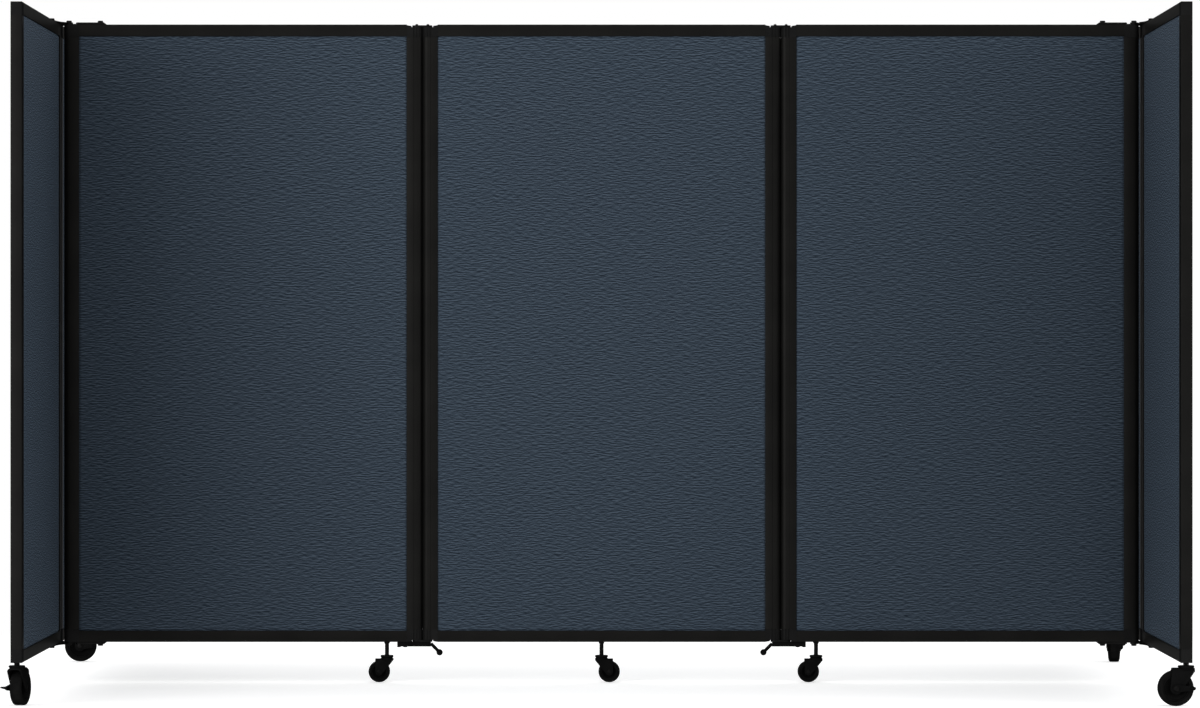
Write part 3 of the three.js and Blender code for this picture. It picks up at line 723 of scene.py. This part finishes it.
# the thick part of the arm comes to a blunt nose, so that a folding wing's thin leaf passes beside it
def mainArmMesh():
    a = armSet
    low, leafTop = a["base"] - a["seat"], a["base"] + leafThickness + a["swell"]
    reach, half = a["plateReach"], a["plateWidth"] / 2
    side = [(0, low), (reach, low), (reach - a["slope"], armTop), (0, armTop)]
    nose = [(a["noseTip"], 0), (a["noseEnd"], -half), (reach, -half), (reach, half), (a["noseEnd"], half)]
    plan = [*arc(0, 0, a["eye"], 90, 270, a["steps"]), (reach - a["slope"], -half), (reach - a["slope"], half)]
    thick = built(runAlongY(side, -2 * half, 2 * half),
                  ("INTERSECT", risen(nose, low - a["gap"], armTop + a["gap"])))
    return built(thick, ("UNION", risen(plan, low, leafTop)), ease=a["ease"] / 2)


def wingArmMesh(level):
    a = armSet
    # the leaves are a hair thicker than they need be, so that hardly any light shows between them
    low = a["base"] + level * (leafThickness + a["gap"]) - a["swell"]
    high = low + leafThickness + 2 * a["swell"]
    half = a["width"] / 2
    left, right = [], []
    for n in range(a["steps"] + 1):
        t = n / a["steps"]
        x = 2 * t * (1 - t) * a["bend"] + t * t * a["wingReach"]
        y = 2 * t * (1 - t) * wingOffset + t * t * wingOffset
        along = Vector(((1 - 2 * t) * a["bend"] + t * a["wingReach"], (1 - t) * wingOffset)).normalized()
        left.append((x - along.y * half, y + along.x * half))
        right.append((x + along.y * half, y - along.x * half))
    # the far end is rounded about its bolt
    tip = arc(a["wingReach"], wingOffset, half, 90, -90, a["steps"] // 2)
    outline = [*left[:-1], *tip, *reversed(right[:-1])]
    reach = disc(0, 0, a["leafReach"], a["clearSides"])
    clear = risen(reach, a["base"] - a["gap"], armTop + a["gap"])
    thick = built(risen(outline, a["base"] - a["seat"], armTop), ("DIFFERENCE", clear))
    bore = risen(disc(0, 0, boltSet["pivotShank"] + a["gap"]), low - a["overrun"], high + a["overrun"])
    return built(thick, ("UNION", risen(outline, low, high)),
                 ("UNION", risen(disc(0, 0, a["eye"], a["eyeSides"]), low, high)),
                 ("DIFFERENCE", bore), ease=a["ease"] / 2)


def makeArm(node, mesh, bolts, matrix):
    for level, lift in (("_top", Matrix()), ("_bottom", underside)):
        full = node + level
        addPiece(full + "Plate", mesh, blackSteel, "hinge_black", full, lift @ matrix)
        for n, (bolt, spot) in enumerate(bolts):
            addPiece(f"{full}Bolt{n}", bolt, boltSteel, "hinge_black", full,
                     lift @ matrix @ Matrix.Translation(spot))


def makeEndHinges():
    plateBolt = boltMesh(boltSet["shank"], boltSet["length"])
    pivotBolt = boltMesh(boltSet["pivotShank"], boltSet["pivotLength"])
    mainArm = mainArmMesh()
    wingArms = {level: wingArmMesh(level) for level in (1, 2)}
    mainBolts = [(pivotBolt, (0, 0, armTop + armSet["gap"])), (plateBolt, (armSet["boltReach"], 0, armTop))]
    wingBolts = [(plateBolt, (armSet["wingReach"], wingOffset, armTop))]
    for side, sign in sides:
        pivot = Matrix.Translation((sign * pivotX, 0, 0))
        makeArm(side + "_panel_hinge_arm", mainArm, mainBolts, pivot @ Matrix.Diagonal((-sign, 1, 1, 1)))
        for face, way in (("front", -1), ("rear", 1)):
            level = 1 if sign * way < 0 else 2
            # the arm's own x runs along the wing and its y outwards along the screen
            turn = Matrix(((0, sign, 0, 0), (way, 0, 0, 0), (0, 0, 1, 0), (0, 0, 0, 1)))
            makeArm(f"{side}_{face}_wing_hinge_arm", wingArms[level], wingBolts, pivot @ turn)


makeEndHinges()
print("end hinges made")


# Middle hinges: a link plate with two riveted pins, headed above and flush below
linkSet = {
    "length": 0.047, "width": 0.0202, "thickness": 0.0042, "ease": 0.0006, "pin": 0.0025, "pinLength": 0.018,
    "headRadius": 0.0032, "headHeight": 0.0032, "straight": 0.55, "clear": 0.00012,
    "domeSteps": 6, "pinSides": 32, "endSteps": 20, "flushEase": (0.0003, 0.0004), "overrun": 0.02,
}
hingeX = (jointPlaces["right_hinge_inner"].x + jointPlaces["right_hinge_outer"].x) / 2
pinOffset = (jointPlaces["right_hinge_outer"].x - jointPlaces["right_hinge_inner"].x) / 2


def pinMesh(headed):
    k = linkSet
    rings = [(0, -k["thickness"] - k["pinLength"]), (k["pin"], -k["thickness"] - k["pinLength"])]
    if headed:
        radius, height, straight = k["headRadius"], k["headHeight"], k["straight"]
        rings += [(k["pin"], 0), (radius, 0), (radius, height * straight)]
        for n in range(1, k["domeSteps"] + 1):
            angle = math.pi / 2 * n / k["domeSteps"]
            reach = radius * math.cos(angle) if n < k["domeSteps"] else 0
            rings.append((reach, height * (straight + (1 - straight) * math.sin(angle))))
    else:
        inward, down = k["flushEase"]
        rings += [(k["pin"], -down), (k["pin"] - inward, -k["clear"]), (0, -k["clear"])]
    return turned(rings, k["pinSides"])


def makeMiddleHinges():
    k = linkSet
    reach, half, over = (k["length"] - k["width"]) / 2, k["width"] / 2, k["overrun"]
    plan = [*arc(reach, 0, half, -90, 90, k["endSteps"]), *arc(-reach, 0, half, 90, 270, k["endSteps"])]
    holes = [risen(disc(sign * pinOffset, 0, k["pin"] + k["clear"]), -over, over) for sign in (-1, 1)]
    plate = built(risen(plan, -k["thickness"], 0),
                  *(("DIFFERENCE", hole) for hole in holes), ease=k["ease"])
    for side, sign in sides:
        # the upper link lies in its caps' drop, and the lower one level with the frame
        for level, lift, headed in (("_top", Matrix(), True), ("_bottom", underside, False)):
            drop = frameSet["capDrop"] if headed else 0
            spot = Matrix.Translation((sign * hingeX, 0, frameSet["top"] - drop))
            node = side + "_hinge_link" + level
            addPiece(node + "Plate", plate, blackSteel, "hinge_black", node, lift @ spot)
            for n, offset in enumerate((-pinOffset, pinOffset)):
                addPiece(f"{node}Pin{n}", pinMesh(headed), boltSteel, "hinge_black", node,
                         lift @ spot @ Matrix.Translation((offset, 0, 0)))


makeMiddleHinges()
print("middle hinges made")


# Lock levers: a flat bar under the hinge with a heel, a slanting arm and a ball knob, on its own screw
leverSet = {
    "pivotReach": 0.040, "heelReach": 0.0586, "noseReach": 0.0202, "drop": 0.0005, "thickness": 0.0104,
    "width": 0.016, "lip": 0.0017, "lipLength": 0.008, "arm": 0.0076, "knob": 0.0074, "knobReach": 0.0404,
    "knobDrop": 0.0248, "screwHead": 0.0047, "screwShank": 0.003, "screwLength": 0.013, "gap": 0.0003,
    "ease": 0.0009, "overrun": 0.01, "knobSteps": 24, "knobCrease": 60, "screwEase": 0.0004,
    "socketShare": 0.7, "socketDepth": 0.001, "drillPoint": 0.0002,
}


def makeLevers():
    v, bolt, bottom = leverSet, boltSet, frameSet["bottom"]
    top, half, over, count = bottom - v["drop"], v["arm"] / 2, v["overrun"], v["knobSteps"]
    low = top - v["thickness"]
    lip, heel, nose = low - v["lip"], v["heelReach"] - v["lipLength"], -v["noseReach"]
    bar = [(nose, top), (v["heelReach"], top), (v["heelReach"], lip), (heel, lip), (heel, low), (nose, low)]
    slant = math.atan2(v["knobDrop"] - v["drop"] - half, v["knobReach"] - v["noseReach"])
    length = (v["knobReach"] - v["noseReach"]) / math.cos(slant)
    arm = placed(runAlongX(rectangle(-half, half, -half, half), 0, length),
                 Matrix.Translation((nose, 0, top - half)) @ Matrix.Rotation(math.pi - slant, 4, "Y"))
    hole = risen(disc(v["pivotReach"], 0, v["screwShank"] + v["gap"]), low - over, top + over)
    body = built(runAlongY(bar, -v["width"] / 2, v["width"] / 2), ("UNION", arm),
                 ("DIFFERENCE", hole), ease=v["ease"])
    ball = [(0 if n in (0, count) else v["knob"] * math.sin(math.pi * n / count),
             -v["knob"] * math.cos(math.pi * n / count)) for n in range(count + 1)]
    knob = turned(ball, degrees=v["knobCrease"])
    knobSpot = Matrix.Translation((-v["knobReach"], 0, bottom - v["knobDrop"]))
    seat, face, socket, ease = low - v["gap"], lip - v["gap"], bolt["socket"] * v["socketShare"], v["screwEase"]
    screw = turned([
        (0, face + v["socketDepth"] + v["drillPoint"]), (socket, face + v["socketDepth"], True),
        (socket, face, True), (v["screwHead"] - ease, face), (v["screwHead"], face + ease),
        (v["screwHead"], seat), (v["screwShank"], seat), (v["screwShank"], bottom + v["screwLength"]),
        (0, bottom + v["screwLength"]),
    ])
    screwSpot = Matrix.Translation((v["pivotReach"], 0, 0))
    for side, sign in sides:
        spot = Matrix.Translation((sign * hingeX, 0, 0)) @ Matrix.Diagonal((sign, 1, 1, 1))
        node = side + "_lock_lever"
        addPiece(node + "Body", body, casterPlastic, "caster_black", node, spot)
        addPiece(node + "Knob", knob, casterPlastic, "caster_black", node, spot @ knobSpot)
        node = side + "_lock_screw"
        addPiece(node + "Turned", screw, boltSteel, "hardware_black", node, spot @ screwSpot)


makeLevers()
print("lock levers made")


# Casters, drawn about the stem with the wheel trailing towards +X
casterPairs = {  # each measure of the small and of the big caster
    "wheelRadius": (0.025, 0.039), "wheelWidth": (0.020, 0.025), "trail": (0.018, 0.023),
    "tread": (0.0025, 0.0035), "rim": (0.019, 0.029), "web": (0.005, 0.007), "hub": (0.008, 0.011),
    "capRadius": (0.015, 0.018), "capHeight": (0.0115, 0.0115), "capTop": (0.0632, 0.0884),
    "waist": (0.0016, 0.0018), "floorOfBore": (0.002, 0.0052), "bridgeReach": (0.027, 0.031),
    "bridgeTop": (0.055, 0.0833), "hoodRound": (0.006, 0.009), "archRound": (0.005, 0.007),
    "legWall": (0.0025, 0.0035), "boss": (0.009, 0.013), "sidePlay": (0.001, 0.001),
    "topPlay": (0.0012, 0.0012), "stemRadius": (0.005, 0.00635), "stemDepth": (0.013, 0.020),
    "coneRadius": (0.0072, 0), "coneHeight": (0.004, 0), "axle": (0.003, 0.004), "axleHead": (0.005, 0.0065),
    "axleHeadWidth": (0.0016, 0.002), "brake": (False, True),
}
casterSets = {
    kind: {key: pair[n] for key, pair in casterPairs.items()} for n, kind in enumerate(("small", "big"))
}
casterShape = {  # what both have alike; rimSteps are distances inwards, and axleDome has shares of its head
    "axleSides": 48, "capSteps": 4,
    "gap": 0.0003, "forkEase": 0.0007, "over": 0.005, "thread": 0.0002, "threadPitch": 0.0015, "hoodSteps": 10,
    "bossSides": 48, "bearingSides": 72, "tyreSides": 96, "edge": 0.0006, "skirt": 0.001, "capRound": 0.0014,
    "capGroove": ((0.62, 0), (0.60, 0.0005), (0.50, 0.0005), (0.48, 0)), "rimSeat": (0.0008, 0.0014),
    "axleDome": ((0, 1), (0.55, 1), (0.9, 0.75), (1, 0.3), (1, 0)), "webRound": 0.001, "treadSteps": 6,
    "rimSteps": ((0.0040, 0.0032), (0.0034, 0.0012), (0.0028, 0.0006), (0.0006, 0.0006), (0, 0.0012)),
    "nutEase": (0.0004, 0.0003), "spiralSteps": 20, "ridgeSides": 4, "coreSides": 32,
}
brakeSet = {
    "gap": 0.0005, "wall": 0.0032, "hub": 0.0085, "tip": 0.0045, "reach": 0.0413, "tabWidth": 0.011,
    "spread": 0.032, "tabRoot": 0.0064, "tabEnd": 0.002, "tabRise": 0.0015, "ease": 0.0006,
    "ridges": 4, "ridgeRadius": 0.0006, "ridgePitch": 0.0024, "firstRidge": 0.0235, "ridgeShare": 0.8,
    "ridgeSides": 12, "hubSides": 40, "tipSides": 32, "overrun": 0.05,
}
casterKinds = {
    "centre": "small", "left": "small", "right": "small", "left_front": "big", "left_rear": "big",
    "right_front": "big", "right_rear": "big",
}


def forkWalls(c):
    inner = c["wheelWidth"] / 2 + c["sidePlay"]
    return inner, inner + c["legWall"]


def hoodOutline(reach, top, radius):
    low, steps = -casterShape["over"], casterShape["hoodSteps"]
    return [(-reach, low), (reach, low), *arc(reach - radius, top - radius, radius, 0, 90, steps),
            *arc(radius - reach, top - radius, radius, 90, 180, steps)]


def forkMesh(c):
    s = casterShape
    inner, outer = forkWalls(c)
    under, bridge, reach = c["capTop"] - c["capHeight"], c["bridgeTop"], c["bridgeReach"]
    boss = disc(c["trail"], c["wheelRadius"], c["boss"], s["bossSides"])
    side = hull([(-c["capRadius"], under), (-c["capRadius"], bridge), (reach, bridge),
                 (reach, bridge - c["capHeight"] / 2), *boss])
    back, front = -c["capRadius"] - s["over"], reach + c["boss"]
    clear = 2 * c["wheelRadius"] + c["topPlay"]
    bore = disc(0, 0, c["stemRadius"] + s["gap"])
    return built(
        runAlongY(side, -outer, outer),
        ("INTERSECT", runAlongX(hoodOutline(outer, bridge, c["hoodRound"]), back, front)),
        ("DIFFERENCE", runAlongX(hoodOutline(inner, clear, c["archRound"]), back, front)),
        ("DIFFERENCE", risen(bore, under + c["floorOfBore"], c["capTop"] + s["over"])),
        ease=s["forkEase"])


# the grooved bearing cap on top of the fork, closed in a ring round the stem
def bearingMesh(c):
    s = casterShape
    top, reach, edge, bend = c["capTop"], c["capRadius"], s["edge"], s["capRound"]
    low = top - c["capHeight"]
    clear = max(low, 2 * c["wheelRadius"] + c["topPlay"] + s["gap"])
    middle, lip, waist = low + c["capHeight"] / 2, c["capHeight"] / 3, reach - c["waist"]
    bore = c["stemRadius"] + s["gap"]
    return turned([
        (bore, clear), (reach - edge, clear), (reach, clear + edge),
        (reach, max(clear + s["skirt"], low + lip)),
        (waist, middle), (waist, middle + edge), (reach, top - lip),
        *arc(reach - bend, top - bend, bend, 0, 90, s["capSteps"]),
        *((reach * share, top - down) for share, down in s["capGroove"]), (bore, top),
    ], s["bearingSides"], closed=True)


def axleRings(c, low, high):
    dome = [(c["axleHead"] * across, c["axleHeadWidth"] * out) for across, out in casterShape["axleDome"]]
    return [*((r, low - out) for r, out in dome), (c["axle"], low), (c["axle"], high),
            *((r, high + out) for r, out in reversed(dome))]


def tyreRings(c):
    reach, side, tread, rim = c["wheelRadius"], c["wheelWidth"] / 2, c["tread"], c["rim"]
    (lift, sink), steps = casterShape["rimSeat"], casterShape["treadSteps"]
    return [(rim, sink - side), (rim + lift, -side),
            *reversed(arc(reach - tread, tread - side, tread, 0, -90, steps)),
            *arc(reach - tread, side - tread, tread, 0, 90, steps), (rim + lift, side), (rim, side - sink)]


# the wheel's dished centre: hub, web and rim, turned from one outline
def coreRings(c):
    s = casterShape
    side, web, hub, edge, bend = c["wheelWidth"] / 2, c["web"] / 2, c["hub"], s["edge"], s["webRound"]
    hubSide, bore = side + c["sidePlay"] / 2, c["axle"] + s["gap"]
    face = [(bore, hubSide), (hub - edge, hubSide), (hub, hubSide - edge), (hub, web + bend), (hub + bend, web),
            *((c["rim"] - inward, side - down) for inward, down in s["rimSteps"])]
    return [(r, -y) for r, y in face] + [(r, y) for r, y in reversed(face)]


def pedalMesh(c):
    b = brakeSet
    near = forkWalls(c)[1] + b["gap"]
    height, tip, over = c["wheelRadius"], c["trail"] - b["reach"], b["overrun"]
    arm = hull([*disc(c["trail"], height, b["hub"], b["hubSides"]),
                *disc(tip + b["tip"], height, b["tip"], b["tipSides"])])
    rise = height + b["tabRise"]
    tab = [(near, height - b["tabRoot"] / 2), (b["spread"], rise - b["tabEnd"] / 2),
           (b["spread"], rise + b["tabEnd"] / 2), (near, height + b["tabRoot"] / 2)]
    bore = placed(risen(disc(0, 0, c["axle"] + casterShape["gap"]), -over, over),
                  Matrix.Translation((c["trail"], 0, height)) @ Matrix.Rotation(math.pi / 2, 4, "X"))
    return built(runAlongY(arm, near, near + b["wall"]),
                 ("UNION", runAlongX(tab, tip, tip + b["tabWidth"])),
                 ("DIFFERENCE", bore), ease=b["ease"])


# grip ridges in a row along the pedal's tab
def makeRidgeTree():
    tree, entry = newTree("pedalRidges", Count="Int", First="Vector", Step="Vector", Ridge_Radius="Float",
                          Ridge_Length="Float", Finish="Material")
    given = entry.outputs
    line = addNode(tree, "GeometryNodeMeshLine", Count=given["Count"], Start_Location=given["First"],
                   Offset=given["Step"])
    bar = addNode(tree, "GeometryNodeMeshCylinder", Vertices=brakeSet["ridgeSides"],
                  Radius=given["Ridge Radius"], Depth=given["Ridge Length"])
    lay = addNode(tree, "GeometryNodeTransform", Geometry=bar, Rotation=(0, math.pi / 2, 0))
    return endTree(tree, entry, addNode(tree, "GeometryNodeInstanceOnPoints", Points=line, Instance=lay))


# a rolled thread: a spiral ridge round a plain core
def makeThreadTree():
    tree, entry = newTree("rolledThread", Foot="Float", Length="Float", Turns="Float", Core_Radius="Float",
                          Ridge="Float", Finish="Material")
    s, given = casterShape, entry.outputs
    spiral = addNode(tree, "GeometryNodeCurveSpiral", Resolution=s["spiralSteps"], Rotations=given["Turns"],
                     Start_Radius=given["Core Radius"], End_Radius=given["Core Radius"], Height=given["Length"])
    profile = addNode(tree, "GeometryNodeCurvePrimitiveCircle", Resolution=s["ridgeSides"],
                      Radius=given["Ridge"])
    sweep = addNode(tree, "GeometryNodeCurveToMesh", Curve=spiral, Profile_Curve=profile, Fill_Caps=True)
    core = addNode(tree, "GeometryNodeMeshCylinder", Vertices=s["coreSides"], Radius=given["Core Radius"],
                   Depth=given["Length"])
    middle = addNode(tree, "ShaderNodeCombineXYZ", Z=maths(tree, "MULTIPLY", given["Length"], 0.5))
    join = addNode(tree, "GeometryNodeJoinGeometry", Geometry=sweep)
    setNode(tree, join, Geometry=addNode(tree, "GeometryNodeTransform", Geometry=core, Translation=middle))
    foot = addNode(tree, "ShaderNodeCombineXYZ", Z=given["Foot"])
    return endTree(tree, entry, addNode(tree, "GeometryNodeTransform", Geometry=join, Translation=foot))


def stemMesh(c, tree):
    s = casterShape
    foot = c["capTop"] - c["capHeight"] + c["floorOfBore"] + s["gap"]
    length = frameSet["bottom"] + c["stemDepth"] - foot
    return grow(tree, Foot=foot, Length=length, Turns=length / s["threadPitch"],
                Core_Radius=c["stemRadius"] - s["thread"], Ridge=s["thread"], Finish=boltSteel)


# the cone nut that draws a small stem up against the frame
def coneMesh(c):
    s, wide = casterShape, c["coneRadius"]
    (inward, down), edge = s["nutEase"], s["edge"]
    top, bore = frameSet["bottom"] - s["gap"], c["stemRadius"] - s["thread"]
    low = top - c["coneHeight"]
    return turned([(bore, low), (c["stemRadius"] + edge, low), (wide - inward, top - edge),
                   (wide, top - down), (wide, top), (bore, top)], closed=True)


# the finish and slot of each piece of a caster, and the node that it belongs to
casterPieces = {
    "fork": (casterPlastic, "caster_black", "fork"), "bearing": (casterPlastic, "caster_black", "fork"),
    "axle": (boltSteel, "caster_black", "fork"), "tyre": (treadRubber, "wheel_black", "wheel"),
    "core": (casterPlastic, "wheel_black", "wheel"), "stem": (boltSteel, "hardware_black", "stem"),
    "cone": (boltSteel, "hardware_black", "stem"), "pedal": (casterPlastic, "caster_black", "brake"),
    "ridges": (casterPlastic, "caster_black", "brake"),
}


def casterParts(c, threadTree, ridgeTree):
    s, b, outer = casterShape, brakeSet, forkWalls(c)[1]
    far = outer + (b["gap"] + b["wall"] + s["gap"] if c["brake"] else 0)
    lay = Matrix.Translation((c["trail"], 0, c["wheelRadius"])) @ Matrix.Rotation(-math.pi / 2, 4, "X")
    parts = {"fork": forkMesh(c), "bearing": bearingMesh(c), "stem": stemMesh(c, threadTree)}
    for name, rings, steps, closed in (
        ("axle", axleRings(c, -outer, far), s["axleSides"], False),
        ("tyre", tyreRings(c), s["tyreSides"], True),
        ("core", coreRings(c), s["bearingSides"], True),
    ):
        parts[name] = placed(turned(rings, steps, closed), lay)
    if c["coneHeight"]:
        parts["cone"] = coneMesh(c)
    if c["brake"]:
        rootTop = c["wheelRadius"] + b["tabRoot"] / 2
        endTop = c["wheelRadius"] + b["tabRise"] + b["tabEnd"] / 2
        fall = (endTop - rootTop) / (b["spread"] - outer - b["gap"])
        first = (c["trail"] - b["reach"] + b["tabWidth"] / 2, b["firstRidge"],
                 rootTop + fall * (b["firstRidge"] - outer - b["gap"]))
        parts["pedal"] = pedalMesh(c)
        parts["ridges"] = grow(
            ridgeTree, Count=b["ridges"], First=first, Step=(0, b["ridgePitch"], fall * b["ridgePitch"]),
            Ridge_Radius=b["ridgeRadius"], Ridge_Length=b["tabWidth"] * b["ridgeShare"], Finish=casterPlastic)
    return parts


def makeCasters():
    trees = makeThreadTree(), makeRidgeTree()
    parts = {kind: casterParts(c, *trees) for kind, c in casterSets.items()}
    for name, kind in casterKinds.items():
        swivel, axle = jointPlaces[name + "_swivel"], jointPlaces[name + "_wheel_spin"]
        turn = math.atan2(axle.y - swivel.y, axle.x - swivel.x)
        spot = Matrix.Translation((swivel.x, swivel.y, 0)) @ Matrix.Rotation(turn, 4, "Z")
        for part, (finish, slot, owner) in casterPieces.items():
            if part in parts[kind]:
                addPiece(f"{name}_caster_{part}Piece", parts[kind][part], finish, slot,
                         f"{name}_caster_{owner}", spot)


makeCasters()
print("casters made")


# Floor, world and lamps
stageSet = {
    "floor": (0.90, 0.90, 0.90), "lift": 0.42, "half": 30, "drop": 0.0002, "ambient": 0.93,
    "fadeFrom": 1.5, "fadeTo": 2.6,  # how far out the floor has faded to the white backdrop
}


def makeStage():
    s = stageSet
    work = bmesh.new()
    corners = rectangle(-s["half"], s["half"], -s["half"], s["half"])
    work.faces.new([work.verts.new((x, y, -s["drop"])) for x, y in corners])
    mesh = bpy.data.meshes.new("studioFloor")
    work.to_mesh(mesh)
    work.free()
    floor = newObject("studioFloor", mesh)
    material, tree, shader = newMaterial("studioFloor")
    tree.nodes.remove(shader)
    seen = seenBy(tree, "Is Camera Ray", "Is Glossy Ray")
    matt = addNode(tree, "ShaderNodeBsdfDiffuse", Color=(*s["floor"], 1))
    glow = addNode(tree, "ShaderNodeEmission", Strength=maths(tree, "MULTIPLY", seen, s["lift"]))
    both = addNode(tree, "ShaderNodeAddShader")
    feed(tree, both.inputs[0], matt)
    feed(tree, both.inputs[1], glow)
    # beyond the screen's own shadow the floor turns into the white of the backdrop
    distance = addNode(tree, "ShaderNodeVectorMath", operation="LENGTH", Vector=objectPoint(tree))
    far = fromTo(tree, distance.outputs["Value"], 0.0, 1.0, s["fadeFrom"], s["fadeTo"])
    fade = addNode(tree, "ShaderNodeMixShader", Fac=maths(tree, "MULTIPLY", far, seen))
    feed(tree, fade.inputs[1], both)
    feed(tree, fade.inputs[2], addNode(tree, "ShaderNodeEmission"))
    setNode(tree, tree.nodes["Material Output"], Surface=fade)
    mesh.materials.append(material)


def makeWorld():
    world = bpy.data.worlds.new("studioWorld")
    bpy.context.scene.world = world
    world.use_nodes = True
    tree = world.node_tree
    seen = seenBy(tree, "Is Camera Ray", "Is Glossy Ray", "Is Transmission Ray")
    setNode(tree, tree.nodes["Background"], Color=(1, 1, 1, 1),
            Strength=fromTo(tree, seen, stageSet["ambient"], 1.0))


# soft lamps round the screen, low and far off so that it is lit alike from top to bottom; the way is in degrees
# from straight in front, positive to the right
lampSet = {
    "keyLeft": {"way": -35, "radius": 8.0, "size": (4.4, 3.6), "power": 284},
    "fillRight": {"way": 66, "radius": 5.0, "size": (2.4, 2.4), "power": 62},
    "backLeft": {"way": -150, "radius": 8.0, "size": (4.4, 3.6), "power": 130},
    "backRight": {"way": 147, "radius": 8.0, "size": (4.4, 3.6), "power": 130},
}
lampRing = {"height": 1.3, "aim": (0, 0, 0.9)}


def makeLamps():
    for name, wanted in lampSet.items():
        data = bpy.data.lights.new(name, "AREA")
        data.shape = "RECTANGLE"
        data.size, data.size_y = wanted["size"]
        data.energy = wanted["power"]
        lamp = newObject(name, data)
        way, reach = math.radians(wanted["way"]), wanted["radius"]
        place = Vector((reach * math.sin(way), -reach * math.cos(way), lampRing["height"]))
        lamp.location = place
        lamp.rotation_euler = (Vector(lampRing["aim"]) - place).to_track_quat("-Z", "Y").to_euler()


makeStage()
makeWorld()
makeLamps()
bpy.context.scene.view_settings.view_transform = "Standard"
print("stage lit")
